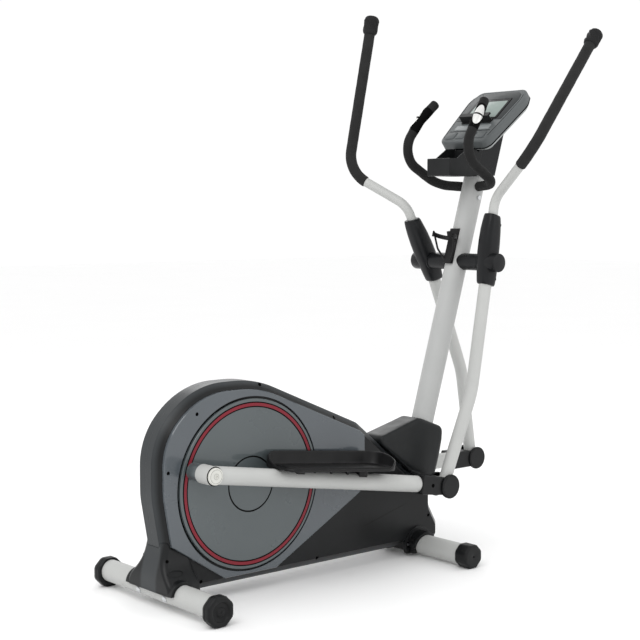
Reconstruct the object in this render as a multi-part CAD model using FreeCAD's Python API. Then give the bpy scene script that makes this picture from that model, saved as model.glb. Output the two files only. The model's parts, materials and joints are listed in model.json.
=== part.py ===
import FreeCAD, Part
import math
import os

V = FreeCAD.Vector

# Elliptical trainer, millimetres. +X is forward, +Y is the user's left, +Z is up.
# The origin is on the floor, under the middle of the machine at rest.
# Outlines and places that belong to the drive end are given from the crank axis.

# crank and linkage
crank_x = -445.0
crank_z = 297.0
crank_radius = 195.0
crank_rest_deg = 163.1
leg_length = 678.7
leg_foot_z = 192.4
right_arm_deg = -15.5
arm_y = 126.0

# mast line, leaning forward from the floor, and the upper pivot on it
mast_lean_deg = 16.88
mast_floor_x = crank_x + 583.97
pivot_z = leg_foot_z + leg_length
pivot_x = mast_floor_x + pivot_z * math.tan(math.radians(mast_lean_deg))

# stabilizer tubes and their end caps
tube_r = 30.0
tube_wall = 2.0
rear_x = crank_x - 253.0
rear_half = 261.0
front_x = crank_x + 639.0
front_half = 272.0
leveller_apothem = tube_r + 9.5
leveller_width = 28.0
rear_z = leveller_apothem + 4.5
front_cap_apothem = tube_r + 4.0
front_cap_width = 45.0
front_z = front_cap_apothem
cap_wall = 6.0
cap_play = 0.08
bolt_r = 4.0
bolt_play = 0.2
bolt_head_r = 9.0
bolt_head_thick = 6.0
dome_r = 11.0
rear_bolt_y = 60.0
rear_bolt_dip_deg = 20.0
front_bolt_y = 48.0
front_bolt_dip_deg = 0.0

# main frame inside the housing
rail_z0 = 40.0
rail_z1 = 80.0
rail_half = 20.0
axle_r = 12.5
bearing_r = axle_r + 11.0
bearing_width = 12.0
hub_r = bearing_r + 6.5
hub_y0 = -36.0
hub_y1 = 8.0

# mast
mast_r = 33.5
mast_wall = 2.5
mast_foot_z = 90.0
mast_top_z = pivot_z + 360.9
socket_wall = 4.0
socket_top_z = 300.0

# drive
pulley_r = 150.0
pulley_y0 = 12.0
pulley_y1 = 24.0
belt_thick = 3.0
belt_gap = 0.3
flywheel_dx = 372.0
flywheel_z = 235.0
flywheel_r = 115.0
flywheel_y0 = -20.0
small_pulley_r = 20.0
flywheel_axle_r = 6.0
brake_x = crank_x + flywheel_dx + flywheel_r + 18.0
brake_z = flywheel_z - 18.0
running = 0.05
ear_thick = 4.0
ear_right_y = -30.0
ear_left_y = 30.0

# housing
shell_y = 46.0
shell_wall = 3.0
shell_bevel = 20.0
panel_thick = 10.0
panel_inset = 21.0
disc_r = crank_radius + 34.5
panel_hole_r = disc_r + 6.5
panel_lip_r = panel_hole_r + 12.0
disc_face_y = 60.0
disc_wall = 3.0
disc_rim_y = 48.5
ring_r1 = disc_r - 9.5
ring_r0 = ring_r1 - 12.0
ring_proud = 0.8
crank_arm_thick = 7.0
crank_arm_half = 20.0
boss_r = 22.0
boss_end_y = 98.0
screw_r = 5.0
screw_depth = 4.0
foot_half = 100.0
foot_top_z = 172.0
recess_length = 48.0
recess_height = 18.0
recess_depth = 3.0
boot_half = 50.0
boot_bevel = 14.0

# pedal arms
pedal_tube_r = 24.0
pedal_tube_wall = 2.5
pin_gap = 2.0
pin_bush_r = 25.0
pin_bush_end_y = 152.0
pin_r = 9.0
pin_cap_thick = 7.0
leg_r = 19.0
leg_play = 1.0
fork_thick = 4.0
fork_y0 = arm_y - leg_r - leg_play - fork_thick
fork_y1 = arm_y + leg_r + leg_play + fork_thick
fork_reach = 76.0
pivot_bolt_r = 6.0
cover_disc_r = 33.0
cover_disc_thick = 6.0
cover_reach = 112.0
cover_half_height = 28.0
cover_edge = 2.5
plate_back = 212.0
plate_length = 400.0
plate_inner_y = 72.0
plate_outer_y = 204.0
plate_lift = 33.0
plate_thick = 6.0
plate_wall = 4.0
plate_rim = 22.0
plate_inner_wall = 40.0
plate_tilt_deg = 2.6

# swing arms
leg_wall = 2.0
leg_bend_x = 42.0
leg_bend_z = -390.0
shaft_r = 10.0
shaft_overhang = 14.0
pivot_hub_r = 20.0
leg_bush_r = 16.0
bar_r = 14.5
bar_wall = 2.0
bar_low = V(-6.0, -132.0, 34.0)
bar_bend_low = V(-30.0, -134.0, 188.0)
bar_bend_high = V(-90.0, -300.0, 319.0)
bar_top = V(111.0, -272.0, 729.0)
grip_r = 17.0
grip_lap = 65.0
knob_r = 24.0
knob_length = 58.0
knob_neck = 24.0
knob_round = 10.0

# transverse pivot tube on the mast
spacer_r = 25.5
spacer_end_y = arm_y - leg_r - 5.0
cover_end_y = arm_y + leg_r + 7.0
hub_cap_r = 28.5
hub_cap_end_y = cover_end_y + 23.0

# fixed handlebar, one side, from the mast to the tip
handle_r = 11.0
handle_wall = 2.0
handle_foam_r = 15.0
handle_z = pivot_z + 226.9
clamp_drop = 32.0
handle_points = [V(pivot_x + 35.7, 122, handle_z + 9), V(pivot_x - 118.3, 131, handle_z + 98),
                 V(pivot_x - 41.3, 122, handle_z + 207), V(pivot_x + 3.7, 104, handle_z + 255)]
handle_radii = [60.0, 68.0, 80.0]
foam_start_y = 42.0
foam_end = 9.0
sensor_proud = 1.6
sensor_half_length = 37.0
sensor_half_width = 14.0
sensor_gap = 6.0

# console
console_x = pivot_x + 13.7
console_z = pivot_z + 365.9
console_tilt_deg = 40.8
console_length = 254.0
console_bottom_half = 97.0
console_top_half = 94.0
console_wide_half = 117.0
console_wide_u = 205.0
console_thick = 30.0
console_back_thick = 12.0
console_wall = 2.5
screen_u0 = 112.0
screen_u1 = 196.0
screen_half = 62.0
key_u0 = 14.0
key_u1 = 46.0
key_width = 36.0
key_pitch = 41.0
key_play = 0.4
key_travel = 1.5
key_count = 4
ledge_u = 92.0
ledge_half = 60.0
ledge_height = 25.0

# cup tray, mast cover and bottle cage
tray_x0 = pivot_x - 83.3
tray_half = 47.0
tray_z0 = pivot_z + 259.9
tray_back_z = tray_z0 + 53.0
tray_front_z = tray_z0 + 83.0
tray_wall = 3.0
mast_cover_half = 39.0
mast_cover_low_z = tray_z0 + 3.0
mast_cover_top_z = tray_z0 + 199.0
cage_z0 = pivot_z - 5.1
cage_z1 = cage_z0 + 106.0
cage_r = 38.0
cage_wall = 3.0
cage_band = 13.0
cage_rod_r = 3.0
cage_strip_half = 15.0

FORWARD = V(1, 0, 0)
LEFT = V(0, 1, 0)
UP = V(0, 0, 1)


def rod(start, end, radius):
    axis = end - start
    return Part.makeCylinder(radius, axis.Length, start, axis)


def pipe(start, end, outer, inner):
    return rod(start, end, outer).cut(rod(start, end, inner))


def across(x, z, y0, y1, radius):
    """A cylinder along Y."""
    return rod(V(x, y0, z), V(x, y1, z), radius)


def block(x0, x1, y0, y1, z0, z1):
    return Part.makeBox(x1 - x0, y1 - y0, z1 - z0, V(x0, y0, z0))


def rounded(points, radii, closed):
    """A wire of straight runs joined by tangent arcs. A radius of 0 leaves a corner sharp."""
    count = len(points)
    edges = []
    last = None
    first = None
    for i, (point, radius) in enumerate(zip(points, radii)):
        inner = closed or 0 < i < count - 1
        if not inner or radius == 0:
            enter = leave = point
            arc = None
        else:
            back = (points[i - 1] - point).normalize()
            ahead = (points[(i + 1) % count] - point).normalize()
            half = back.getAngle(ahead) / 2
            reach = radius / math.tan(half)
            enter = point + back * reach
            leave = point + ahead * reach
            towards = (back + ahead).normalize()
            middle = point + towards * (radius / math.sin(half) - radius)
            arc = Part.Arc(enter, middle, leave).toShape()
        if last is None:
            first = enter
        elif (enter - last).Length > 1e-6:
            edges.append(Part.LineSegment(last, enter).toShape())
        if arc:
            edges.append(arc)
        last = leave
    if closed and (first - last).Length > 1e-6:
        edges.append(Part.LineSegment(last, first).toShape())
    return Part.Wire(edges)


def side_outline(corners, y=0.0):
    """A closed outline in a plane of constant Y. Each corner is (x, z, radius)."""
    points = [V(x, y, z) for x, z, r in corners]
    return rounded(points, [r for x, z, r in corners], True)


def side_plate(corners, y0, y1):
    """A prism along Y from y0 to y1."""
    return Part.Face(side_outline(corners, y0)).extrude(V(0, y1 - y0, 0))


def from_crank(corners):
    return [(crank_x + x, z, r) for x, z, r in corners]


def bent(points, radii, outer, inner=0.0):
    """A round bar or tube along a path of straight runs and tangent arcs."""
    path = rounded(points, [0.0] + list(radii) + [0.0], False)
    start, along = points[0], points[1] - points[0]
    ring = Part.Wire(Part.makeCircle(outer, start, along))
    body = path.makePipeShell([ring], True, True)
    if inner:
        hole = Part.Wire(Part.makeCircle(inner, start, along))
        body = body.cut(path.makePipeShell([hole], True, True))
    return body


def mirrored(shape):
    return shape.mirror(V(0, 0, 0), LEFT)


def one(shape):
    """A single clean solid, or a group of them."""
    solids = shape.removeSplitter().Solids
    return solids[0] if len(solids) == 1 else Part.makeCompound(solids)


def fuse(shapes):
    return one(shapes[0].multiFuse(shapes[1:]))


def turned(shape, angle_deg, x, z):
    """Tilts a shape built at the origin, front end up for a positive angle, and carries it to x, z."""
    placed = shape.copy()
    placed.rotate(V(0, 0, 0), V(0, -1, 0), angle_deg)
    placed.translate(V(x, 0, z))
    return placed


def mast_axis_x(z):
    return pivot_x + (z - pivot_z) * math.tan(math.radians(mast_lean_deg))


def on_mast(z, y=0.0):
    return V(mast_axis_x(z), y, z)


# ---- linkage, solved at rest ----

def pin_at(angle_deg):
    angle = math.radians(angle_deg)
    return crank_x + crank_radius * math.cos(angle), crank_z + crank_radius * math.sin(angle)


def lower_pivot(arm_deg):
    angle = math.radians(arm_deg)
    return pivot_x + leg_length * math.sin(angle), pivot_z - leg_length * math.cos(angle)


def closing_arm_deg(pin, pedal_length):
    """The arm angle at which a pedal arm of this length reaches the pin: two circles meet."""
    dx, dz = pin[0] - pivot_x, pin[1] - pivot_z
    span = math.hypot(dx, dz)
    inside = (leg_length ** 2 + span ** 2 - pedal_length ** 2) / (2 * leg_length * span)
    return math.degrees(math.atan2(dx, -dz) + math.acos(inside))


right_pin = pin_at(crank_rest_deg)
left_pin = pin_at(crank_rest_deg + 180)
right_foot = lower_pivot(right_arm_deg)
pedal_length = math.hypot(right_foot[0] - right_pin[0], right_foot[1] - right_pin[1])
left_arm_deg = closing_arm_deg(left_pin, pedal_length)
left_foot = lower_pivot(left_arm_deg)


def tilt_deg(pin, foot):
    return math.degrees(math.atan2(foot[1] - pin[1], foot[0] - pin[0]))


right_pedal_deg = tilt_deg(right_pin, right_foot)
left_pedal_deg = tilt_deg(left_pin, left_foot)


# ---- stabilizers ----

REAR_BOLTS = (rear_x, rear_z, -1, rear_bolt_y, rear_bolt_dip_deg)
FRONT_BOLTS = (front_x, front_z, 1, front_bolt_y, front_bolt_dip_deg)


def bolt_way(x, z, side, y, dip_deg, outside, inside):
    """Two points on a bolt's line through a tube's middle: outside is where the head sits."""
    dip = math.radians(dip_deg)
    out = V(side * math.cos(dip), 0, -math.sin(dip))
    middle = V(x, y, z)
    return middle + out * outside, middle - out * inside


def bolt_holes(x, z, side, y, dip_deg):
    reach = 2 * tube_r
    holes = []
    for at_y in (-y, y):
        holes.append(rod(*bolt_way(x, z, side, at_y, dip_deg, reach, reach), bolt_r + bolt_play))
    return holes[0].fuse(holes[1])


def stabilizer(x, z, half, bolts):
    tube = across(x, z, -half, half, tube_r).cut(across(x, z, -half - 1, half + 1, tube_r - tube_wall))
    return tube.cut(bolt_holes(*bolts))


def octagon_cap(x, apothem, tube_z, half, width):
    """An eight-sided cap that stands on the floor, its bore over the tube's end, on the left side."""
    z = apothem
    corner_r = apothem / math.cos(math.pi / 8)
    turns = [math.pi / 8 + k * math.pi / 4 for k in range(8)]
    corners = [(x + corner_r * math.cos(t), z + corner_r * math.sin(t), 7.0) for t in turns]
    end = half + cap_wall
    cap = side_plate(corners, end - width, end)
    rim = [e for e in cap.Edges if all(abs(v.Point.y - end) < 0.01 for v in e.Vertexes)]
    cap = cap.makeChamfer(2.5, rim)
    cap = cap.cut(across(x, tube_z, end - width - 1, half + cap_play, tube_r + cap_play))
    dish = across(x, z, end - 3, end + 1, apothem * 0.56)
    button = across(x, z, end - 4, end - 0.5, apothem * 0.24)
    return one(cap.cut(dish).fuse(button))


def frame_bolts():
    """Carriage bolts with domed heads, through each tube into the frame's cross plates."""
    bolts = []
    for x, z, side, y, dip in (REAR_BOLTS, FRONT_BOLTS):
        tube = across(x, z, -y - 40, y + 40, tube_r)
        for at_y in (-y, y):
            shank = rod(*bolt_way(x, z, side, at_y, dip, tube_r, tube_r + 14), bolt_r)
            head = rod(*bolt_way(x, z, side, at_y, dip, tube_r + bolt_head_thick, -tube_r + 2), bolt_head_r)
            centre = bolt_way(x, z, side, at_y, dip, tube_r + bolt_head_thick - dome_r, 0)[0]
            head = head.common(Part.makeSphere(dome_r, centre)).cut(tube)
            bolts.append(one(shank.fuse(head)))
    clamp = on_mast(handle_z - clamp_drop)
    shank = rod(clamp - LEFT * (mast_r + 3), clamp + LEFT * (mast_r + 3), bolt_r)
    near, far = LEFT * (mast_r + 0.2), LEFT * (mast_r + 5)
    bolts.append(fuse([shank, rod(clamp + near, clamp + far, 7.0), rod(clamp - near, clamp - far, 7.0)]))
    return Part.makeCompound(bolts)


# ---- main frame and mast ----

def bolt_plate(x, z, side, bolt_y, dip_deg, play=0.0):
    """A cross plate against a stabilizer tube. With play it is the room that the plate needs."""
    low, high = sorted((x - side * (tube_r + 8 + play), x - side * (tube_r - 6)))
    half = bolt_y + 22 + play
    return block(low, high, -half, half, z - 20 - play, z + 20 + play)


def rail(play=0.0):
    return block(rear_x + tube_r - 6, front_x - tube_r + 6, -rail_half - play, rail_half + play,
                 rail_z0 - play, rail_z1 + play)


def frame_room():
    """Room in the covers for the rail, the cross plates and the bolts."""
    play = 1.0
    parts = [bolt_plate(*REAR_BOLTS, play=play), bolt_plate(*FRONT_BOLTS, play=play)]
    for x, z, side, y, dip in (REAR_BOLTS, FRONT_BOLTS):
        for at_y in (-y, y):
            parts.append(rod(*bolt_way(x, z, side, at_y, dip, tube_r + 9, tube_r + 18), bolt_head_r + play))
    return rail(play).multiFuse(parts)


def main_frame():
    post = block(crank_x - 24, crank_x + 24, -rail_half, 0, rail_z1 - 1, crank_z)
    hub = across(crank_x, crank_z, hub_y0, hub_y1, hub_r)
    base = block(crank_x + flywheel_dx - 22, crank_x + flywheel_dx + 22,
                 ear_right_y, ear_left_y + ear_thick, rail_z1 - 1, rail_z1 + 5)
    ears = []
    for y in (ear_right_y, ear_left_y):
        ears.append(block(crank_x + flywheel_dx - 14, crank_x + flywheel_dx + 14,
                          y, y + ear_thick, rail_z1, flywheel_z + 16))
    foot = on_mast(rail_z0 + 12)
    socket = rod(foot, on_mast(socket_top_z), mast_r + socket_wall)
    plates = [bolt_plate(*REAR_BOLTS), bolt_plate(*FRONT_BOLTS)]
    body = rail().multiFuse([post, hub, base, socket] + ears + plates)
    body = body.cut(bolt_holes(*REAR_BOLTS)).cut(bolt_holes(*FRONT_BOLTS))
    for x, z in ((rear_x, rear_z), (front_x, front_z)):
        body = body.cut(across(x, z, -200, 200, tube_r + 0.1))
    body = body.cut(rod(on_mast(mast_foot_z), on_mast(socket_top_z + 1), mast_r + 0.1))
    body = body.cut(across(crank_x, crank_z, hub_y0 - 1, hub_y1 + 1, bearing_r))
    body = body.cut(across(crank_x + flywheel_dx, flywheel_z, -60, 60, flywheel_axle_r))
    return one(body)


def crank_bearings():
    rings = []
    for y in (hub_y0, hub_y1 - bearing_width):
        outer = across(crank_x, crank_z, y, y + bearing_width, bearing_r)
        rings.append(outer.cut(across(crank_x, crank_z, y - 1, y + bearing_width + 1, axle_r + running)))
    return Part.makeCompound(rings)


def mast():
    tube = pipe(on_mast(mast_foot_z), on_mast(mast_top_z), mast_r, mast_r - mast_wall)
    tube = tube.cut(across(pivot_x, pivot_z, -60, 60, shaft_r))
    tube = tube.cut(handle_solid(handle_r))
    clamp = on_mast(handle_z - clamp_drop)
    tube = tube.cut(rod(clamp - LEFT * 60, clamp + LEFT * 60, bolt_r))
    return one(tube.cut(console_room()))


def pivot_shaft():
    return across(pivot_x, pivot_z, -cover_end_y - shaft_overhang, cover_end_y + shaft_overhang, shaft_r)


def pivot_spacers():
    """Two dark sleeves over the shaft, from the mast out to the swing arms."""
    body = rod(on_mast(mast_foot_z), on_mast(mast_top_z), mast_r)
    sleeves = []
    for side in (-1, 1):
        tube = across(pivot_x, pivot_z, 0, side * spacer_end_y, spacer_r)
        tube = tube.cut(across(pivot_x, pivot_z, -1 * side, side * (spacer_end_y + 1), shaft_r))
        sleeves.append(one(tube.cut(body)))
    return Part.makeCompound(sleeves)


# ---- housing ----

SHELL = from_crank([
    (-296, 446, 186), (-168, 574, 240), (40, 574, 340), (410, 417.6, 60),
    (612, 252, 60), (704, 214, 24), (704, 138, 30), (736, 82, 24), (736, 31, 22),
    (-170, 31, 30), (-266, 118, 40), (-271, 150, 60), (-296, 290, 200)])

PANEL_DIAGONAL = from_crank([
    (-420, 700, 0), (414, 700, 0), (419, 240, 30), (395, 218, 20), (80, 46, 0), (-74, 46, 0),
    (-300, 192, 0), (-420, 192, 0)])

BOOT = from_crank([
    (478, 363, 16), (656, 409, 44), (754, 372, 20), (748, 336, 30), (707, 213, 16), (612, 252, 60)])


def rim_edges(solid, y):
    return [e for e in solid.Edges if all(abs(v.Point.y - y) < 0.01 for v in e.Vertexes)]


def housing_solid(corners, depth, bevel):
    """Half of a casing, from the middle plane out to +depth, bevelled round its outer face."""
    solid = side_plate(corners, 0, depth)
    return solid.makeChamfer(bevel, rim_edges(solid, depth))


def end_circle(solid, y):
    return [e for e in solid.Edges if e.Closed and abs(e.Vertexes[0].Point.y - y) < 0.01]


def inset_face(corners, amount, y):
    return Part.Face(side_outline(corners, y).makeOffset2D(-amount))


def housing_left():
    outer = housing_solid(SHELL, shell_y, shell_bevel)
    room = inset_face(SHELL, shell_wall + 1.0, -1).extrude(V(0, shell_y - shell_bevel + 1, 0))
    deep = inset_face(SHELL, shell_bevel + shell_wall, -1).extrude(V(0, shell_y - shell_wall + 1, 0))
    shell = outer.cut(room).cut(deep)
    shell = shell.cut(across(crank_x, crank_z, -1, shell_y + 1, axle_r + 6))
    for x, z in ((rear_x, rear_z), (front_x, front_z)):
        shell = shell.cut(across(x, z, -1, 200, tube_r + 0.3))
    inner, root = tube_r + 0.3, shell_y - 12
    collar = pipe(V(front_x, root, front_z), V(front_x, shell_y + 6, front_z), tube_r + 22, inner)
    lip = pipe(V(front_x, root, front_z), V(front_x, shell_y + 56, front_z), tube_r + 11, inner)
    above = block(front_x - 80, front_x + 80, root, shell_y + 60, 8, 200)
    low, high = front_z - tube_r - 11, front_z + tube_r + 11
    slant = [V(front_x - 60, root - 1, low - 1), V(front_x - 60, shell_y + 12, low - 1),
             V(front_x - 60, shell_y + 52, high + 20), V(front_x - 60, root - 1, high + 20)]
    slant = Part.Face(Part.makePolygon(slant + [slant[0]])).extrude(V(120, 0, 0))
    flare = collar.fuse(lip).common(above).common(slant)
    flare = flare.cut(deep).cut(room)
    shell = shell.fuse(flare).cut(frame_room())
    shell = shell.cut(rod(on_mast(0), on_mast(500), mast_r + socket_wall + 0.3))
    return one(shell.cut(screw_holes()))


def side_panel_left():
    """The grey side panel: the teardrop inside the bevel, down to the diagonal and round the disc."""
    y0, y1 = shell_y, shell_y + panel_thick
    inside = inset_face(SHELL, panel_inset, y0).extrude(V(0, panel_thick, 0))
    upper = inside.common(side_plate(PANEL_DIAGONAL, y0, y1))
    lip = across(crank_x, crank_z, y0, y1, panel_lip_r).common(inside)
    panel = one(upper.fuse(lip))
    panel = panel.makeChamfer(2.0, rim_edges(panel, y1))
    panel = panel.cut(across(crank_x, crank_z, y0 - 1, y1 + 1, panel_hole_r))
    return one(panel.cut(screw_holes()))


# screws from the crank axis: forward, height, and the distance of its face from the middle plane
SCREWS = [(52, 558, 35.0), (-172, 501, 56.0), (-263, 357, 56.0), (312, 443, 35.0),
          (-156, 54, 46.0), (245, 52, 44.0), (685, 111, 36.0)]


def screw_holes():
    holes = []
    for dx, z, y in SCREWS:
        for side in (-1, 1):
            holes.append(across(crank_x + dx, z, side * (y - screw_depth), side * (y + 12), screw_r))
    return holes[0].multiFuse(holes[1:])


def housing_screws():
    """Black screws that hold the shells and panels, each at the bottom of its counterbore."""
    heads = []
    for dx, z, y in SCREWS:
        for side in (-1, 1):
            low = side * (y - screw_depth)
            head = across(crank_x + dx, z, low, low + side * 2.5, screw_r - 0.4)
            slot = block(crank_x + dx - 3.2, crank_x + dx + 3.2, -99, 99, z - 0.7, z + 0.7)
            slot = slot.common(across(crank_x + dx, z, low + side * 1.5, low + side * 4, screw_r))
            heads.append(head.cut(slot))
    return Part.makeCompound(heads)


def mast_boot():
    half = boot_half
    boot = side_plate(BOOT, -half, half)
    boot = boot.makeChamfer(boot_bevel, rim_edges(boot, half) + rim_edges(boot, -half))
    boot = boot.cut(rod(on_mast(0), on_mast(600), mast_r + socket_wall + 0.3))
    shell = housing_solid(SHELL, shell_y, shell_bevel)
    return one(boot.cut(shell.fuse(mirrored(shell))))


def foot_section(z, behind, ahead, half, corner):
    points = [V(rear_x - behind, -half, z), V(rear_x + ahead, -half, z),
              V(rear_x + ahead, half, z), V(rear_x - behind, half, z)]
    return rounded(points, [corner] * 4, True)


def rear_foot_cover():
    """The foot that runs down from the housing's rim and flares out over the rear tube."""
    top = rear_z + tube_r
    drop = foot_top_z - top
    body = Part.makeLoft([
        foot_section(rear_z + 2, tube_r + 8, 62, foot_half, 14.0),
        foot_section(top, tube_r + 8, 62, foot_half - 8, 15.0),
        foot_section(top + 0.3 * drop, tube_r + 3, 63, shell_y + 20, 16.0),
        foot_section(top + 0.65 * drop, tube_r - 6, 64, shell_y + 4, 17.0),
        foot_section(foot_top_z, tube_r - 11, 66, shell_y - 3, 18.0)], True)
    sleeve_half = foot_half + 6
    sleeve = across(rear_x, rear_z, -sleeve_half, sleeve_half, tube_r + 9)
    sleeve = sleeve.common(block(rear_x - 90, rear_x + 90, -sleeve_half, sleeve_half, rear_z + 4, 200))
    body = body.fuse(sleeve)
    for side in (-1, 1):
        out = V(0, side * 0.75, 0.66)
        centre = V(rear_x - 2, side * (shell_y + 26), top + 0.24 * drop)
        floor = centre - out * recess_depth
        tip = floor + FORWARD * (recess_length / 2)
        brow = floor + out.cross(FORWARD) * (recess_height / 2)
        oval = Part.Wire(Part.Ellipse(tip, brow, floor).toShape())
        body = body.cut(Part.Face(oval).extrude(out * 60))
    body = body.cut(across(rear_x, rear_z, -200, 200, tube_r + 0.3))
    shell = housing_solid(SHELL, shell_y, shell_bevel)
    body = body.cut(shell.fuse(mirrored(shell)))
    panel_way = inset_face(SHELL, panel_inset - 0.5, shell_y - 1).extrude(V(0, 90, 0))
    panel_way = panel_way.common(side_plate(PANEL_DIAGONAL, shell_y - 1, shell_y + 90))
    body = body.cut(panel_way).cut(mirrored(panel_way))
    return one(body.cut(frame_room()))


# ---- crank and drive ----

def crank_axle():
    return across(crank_x, crank_z, -(disc_rim_y + crank_arm_thick), disc_rim_y + crank_arm_thick, axle_r)


def crank_arms():
    """A steel arm and boss on each end of the axle, half a turn apart."""
    arms = []
    for side, pin in ((-1, right_pin), (1, left_pin)):
        y0 = side * disc_rim_y
        y1 = side * (disc_rim_y + crank_arm_thick)
        eye = across(crank_x, crank_z, y0, y1, 30.0)
        tip = across(pin[0], pin[1], y0, y1, crank_arm_half + 4)
        low, high = crank_z - crank_arm_half, crank_z + crank_arm_half
        web = block(crank_x, crank_x + crank_radius, *sorted((y0, y1)), low, high)
        angle = math.degrees(math.atan2(pin[1] - crank_z, pin[0] - crank_x))
        web.rotate(V(crank_x, 0, crank_z), V(0, -1, 0), angle)
        boss = across(pin[0], pin[1], y1 - side * 1, side * boss_end_y, boss_r)
        arm = fuse([eye, tip, web, boss])
        arms.append(arm.cut(across(crank_x, crank_z, y0 - side, y1 + side, axle_r)))
    return Part.makeCompound(arms)


def crank_disc(side, pin):
    """A dished plastic disc over the crank arm, with a hole for the boss and a ring groove."""
    face = side * disc_face_y
    solid = across(crank_x, crank_z, side * (disc_rim_y + 2), face, disc_r)
    solid = solid.makeChamfer(1.5, end_circle(solid, face))
    inside = across(crank_x, crank_z, side * disc_rim_y, side * (disc_face_y - disc_wall), disc_r - disc_wall)
    solid = solid.cut(inside)
    groove = pipe(V(crank_x, face - side * 1.0, crank_z), V(crank_x, face + side, crank_z), ring_r1, ring_r0)
    hub_line = pipe(V(crank_x, face - side * 0.8, crank_z), V(crank_x, face + side, crank_z), 75.0, 73.0)
    boss = across(pin[0], pin[1], 0, side * 120, boss_r + 0.2)
    return one(solid.cut(groove).cut(hub_line).cut(boss))


def disc_rings():
    rings = []
    for side in (-1, 1):
        face = side * (disc_face_y - 1.0)
        ring = pipe(V(crank_x, face, crank_z), V(crank_x, face + side * (1 + ring_proud), crank_z),
                    ring_r1 - 0.2, ring_r0 + 0.2)
        pin = right_pin if side < 0 else left_pin
        rings.append(ring.cut(across(pin[0], pin[1], 0, side * 120, boss_r + 0.2)))
    return Part.makeCompound(rings)


def drive_pulley():
    rim = across(crank_x, crank_z, pulley_y0, pulley_y1, pulley_r)
    hollow = across(crank_x, crank_z, pulley_y0 + 4, pulley_y1 + 1, pulley_r - 10)
    hub = across(crank_x, crank_z, pulley_y0, pulley_y1, axle_r + 12)
    body = rim.cut(hollow).fuse(hub)
    for k in range(6):
        angle = math.radians(60 * k + 30)
        hole_x = crank_x + 88 * math.cos(angle)
        hole_z = crank_z + 88 * math.sin(angle)
        body = body.cut(across(hole_x, hole_z, pulley_y0 - 1, pulley_y0 + 5, 26))
    return one(body.cut(across(crank_x, crank_z, pulley_y0 - 1, pulley_y1 + 1, axle_r)))


def belt_loop(offset, y0, y1):
    """The area inside a belt line, offset from both pulleys."""
    big, small = pulley_r + offset, small_pulley_r + offset
    x1, z1 = crank_x + flywheel_dx, flywheel_z
    dx, dz = x1 - crank_x, z1 - crank_z
    span = math.hypot(dx, dz)
    base = math.atan2(dz, dx)
    lean = math.acos((big - small) / span)
    quad = []
    for sign in (1, -1):
        angle = base + sign * lean
        near = V(crank_x + big * math.cos(angle), y0, crank_z + big * math.sin(angle))
        far = V(x1 + small * math.cos(angle), y0, z1 + small * math.sin(angle))
        quad += [near, far] if sign == 1 else [far, near]
    middle = Part.Face(Part.makePolygon(quad + [quad[0]])).extrude(V(0, y1 - y0, 0))
    ends = [across(crank_x, crank_z, y0, y1, big), across(x1, z1, y0, y1, small)]
    return fuse([middle] + ends)


def drive_belt():
    y0, y1 = pulley_y0 + 1, pulley_y1 - 1
    return one(belt_loop(belt_gap + belt_thick, y0, y1).cut(belt_loop(belt_gap, y0 - 1, y1 + 1)))


def flywheel():
    x, z = crank_x + flywheel_dx, flywheel_z
    disc = across(x, z, flywheel_y0, flywheel_y0 + 22, flywheel_r)
    dish = across(x, z, flywheel_y0 + 14, flywheel_y0 + 23, flywheel_r - 22)
    hub = across(x, z, flywheel_y0 - 4, pulley_y1, small_pulley_r)
    return one(disc.cut(dish).fuse(hub).cut(across(x, z, -60, 60, flywheel_axle_r + running)))


def flywheel_axle():
    x, z = crank_x + flywheel_dx, flywheel_z
    shaft = across(x, z, ear_right_y - 10, ear_left_y + ear_thick + 7, flywheel_axle_r)
    outside = ear_left_y + ear_thick
    nuts = [across(x, z, ear_right_y - 6, ear_right_y, 10), across(x, z, outside, outside + 6, 10)]
    return fuse([shaft] + nuts)


def brake_bracket():
    """The magnet carrier: a curved shoe beside the flywheel's rim, on a pivot ahead of it."""
    x, z = crank_x + flywheel_dx, flywheel_z
    y0, y1 = flywheel_y0, flywheel_y0 + 22
    band = across(x, z, y0, y1, flywheel_r + 14).cut(across(x, z, y0 - 1, y1 + 1, flywheel_r + 4))
    sector = side_plate([(x, z, 0), (x + 200, z - 40, 0), (x + 200, z + 110, 0)], y0 - 1, y1 + 1)
    shoe = band.common(sector)
    eye = across(brake_x, brake_z, y0, y1, 12)
    return one(shoe.fuse(eye).cut(across(brake_x, brake_z, -60, 60, 5 + running)))


# ---- pedal arms: built along +X from the crank pin, on the right side ----

def pedal_arm():
    tube_end = pedal_length - fork_reach + 30
    tube = rod(V(pin_bush_r - 6, -arm_y, 0), V(tube_end, -arm_y, 0), pedal_tube_r)
    start, end = V(pin_bush_r + 6, -arm_y, 0), V(tube_end + 1, -arm_y, 0)
    tube = tube.cut(rod(start, end, pedal_tube_r - pedal_tube_wall))
    bush = across(0, 0, -(boss_end_y + pin_gap), -pin_bush_end_y, pin_bush_r)
    cheeks = []
    for y in (fork_y0, fork_y1 - fork_thick):
        cheek = block(pedal_length - fork_reach, pedal_length, -y - fork_thick, -y, -16, 16)
        cheeks.append(cheek.fuse(across(pedal_length, 0, -y - fork_thick, -y, 16)))
    body = tube.multiFuse([bush] + cheeks)
    body = body.cut(across(0, 0, -90, -160, pin_r))
    return one(body.cut(across(pedal_length, 0, -90, -170, pivot_bolt_r)))


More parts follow.
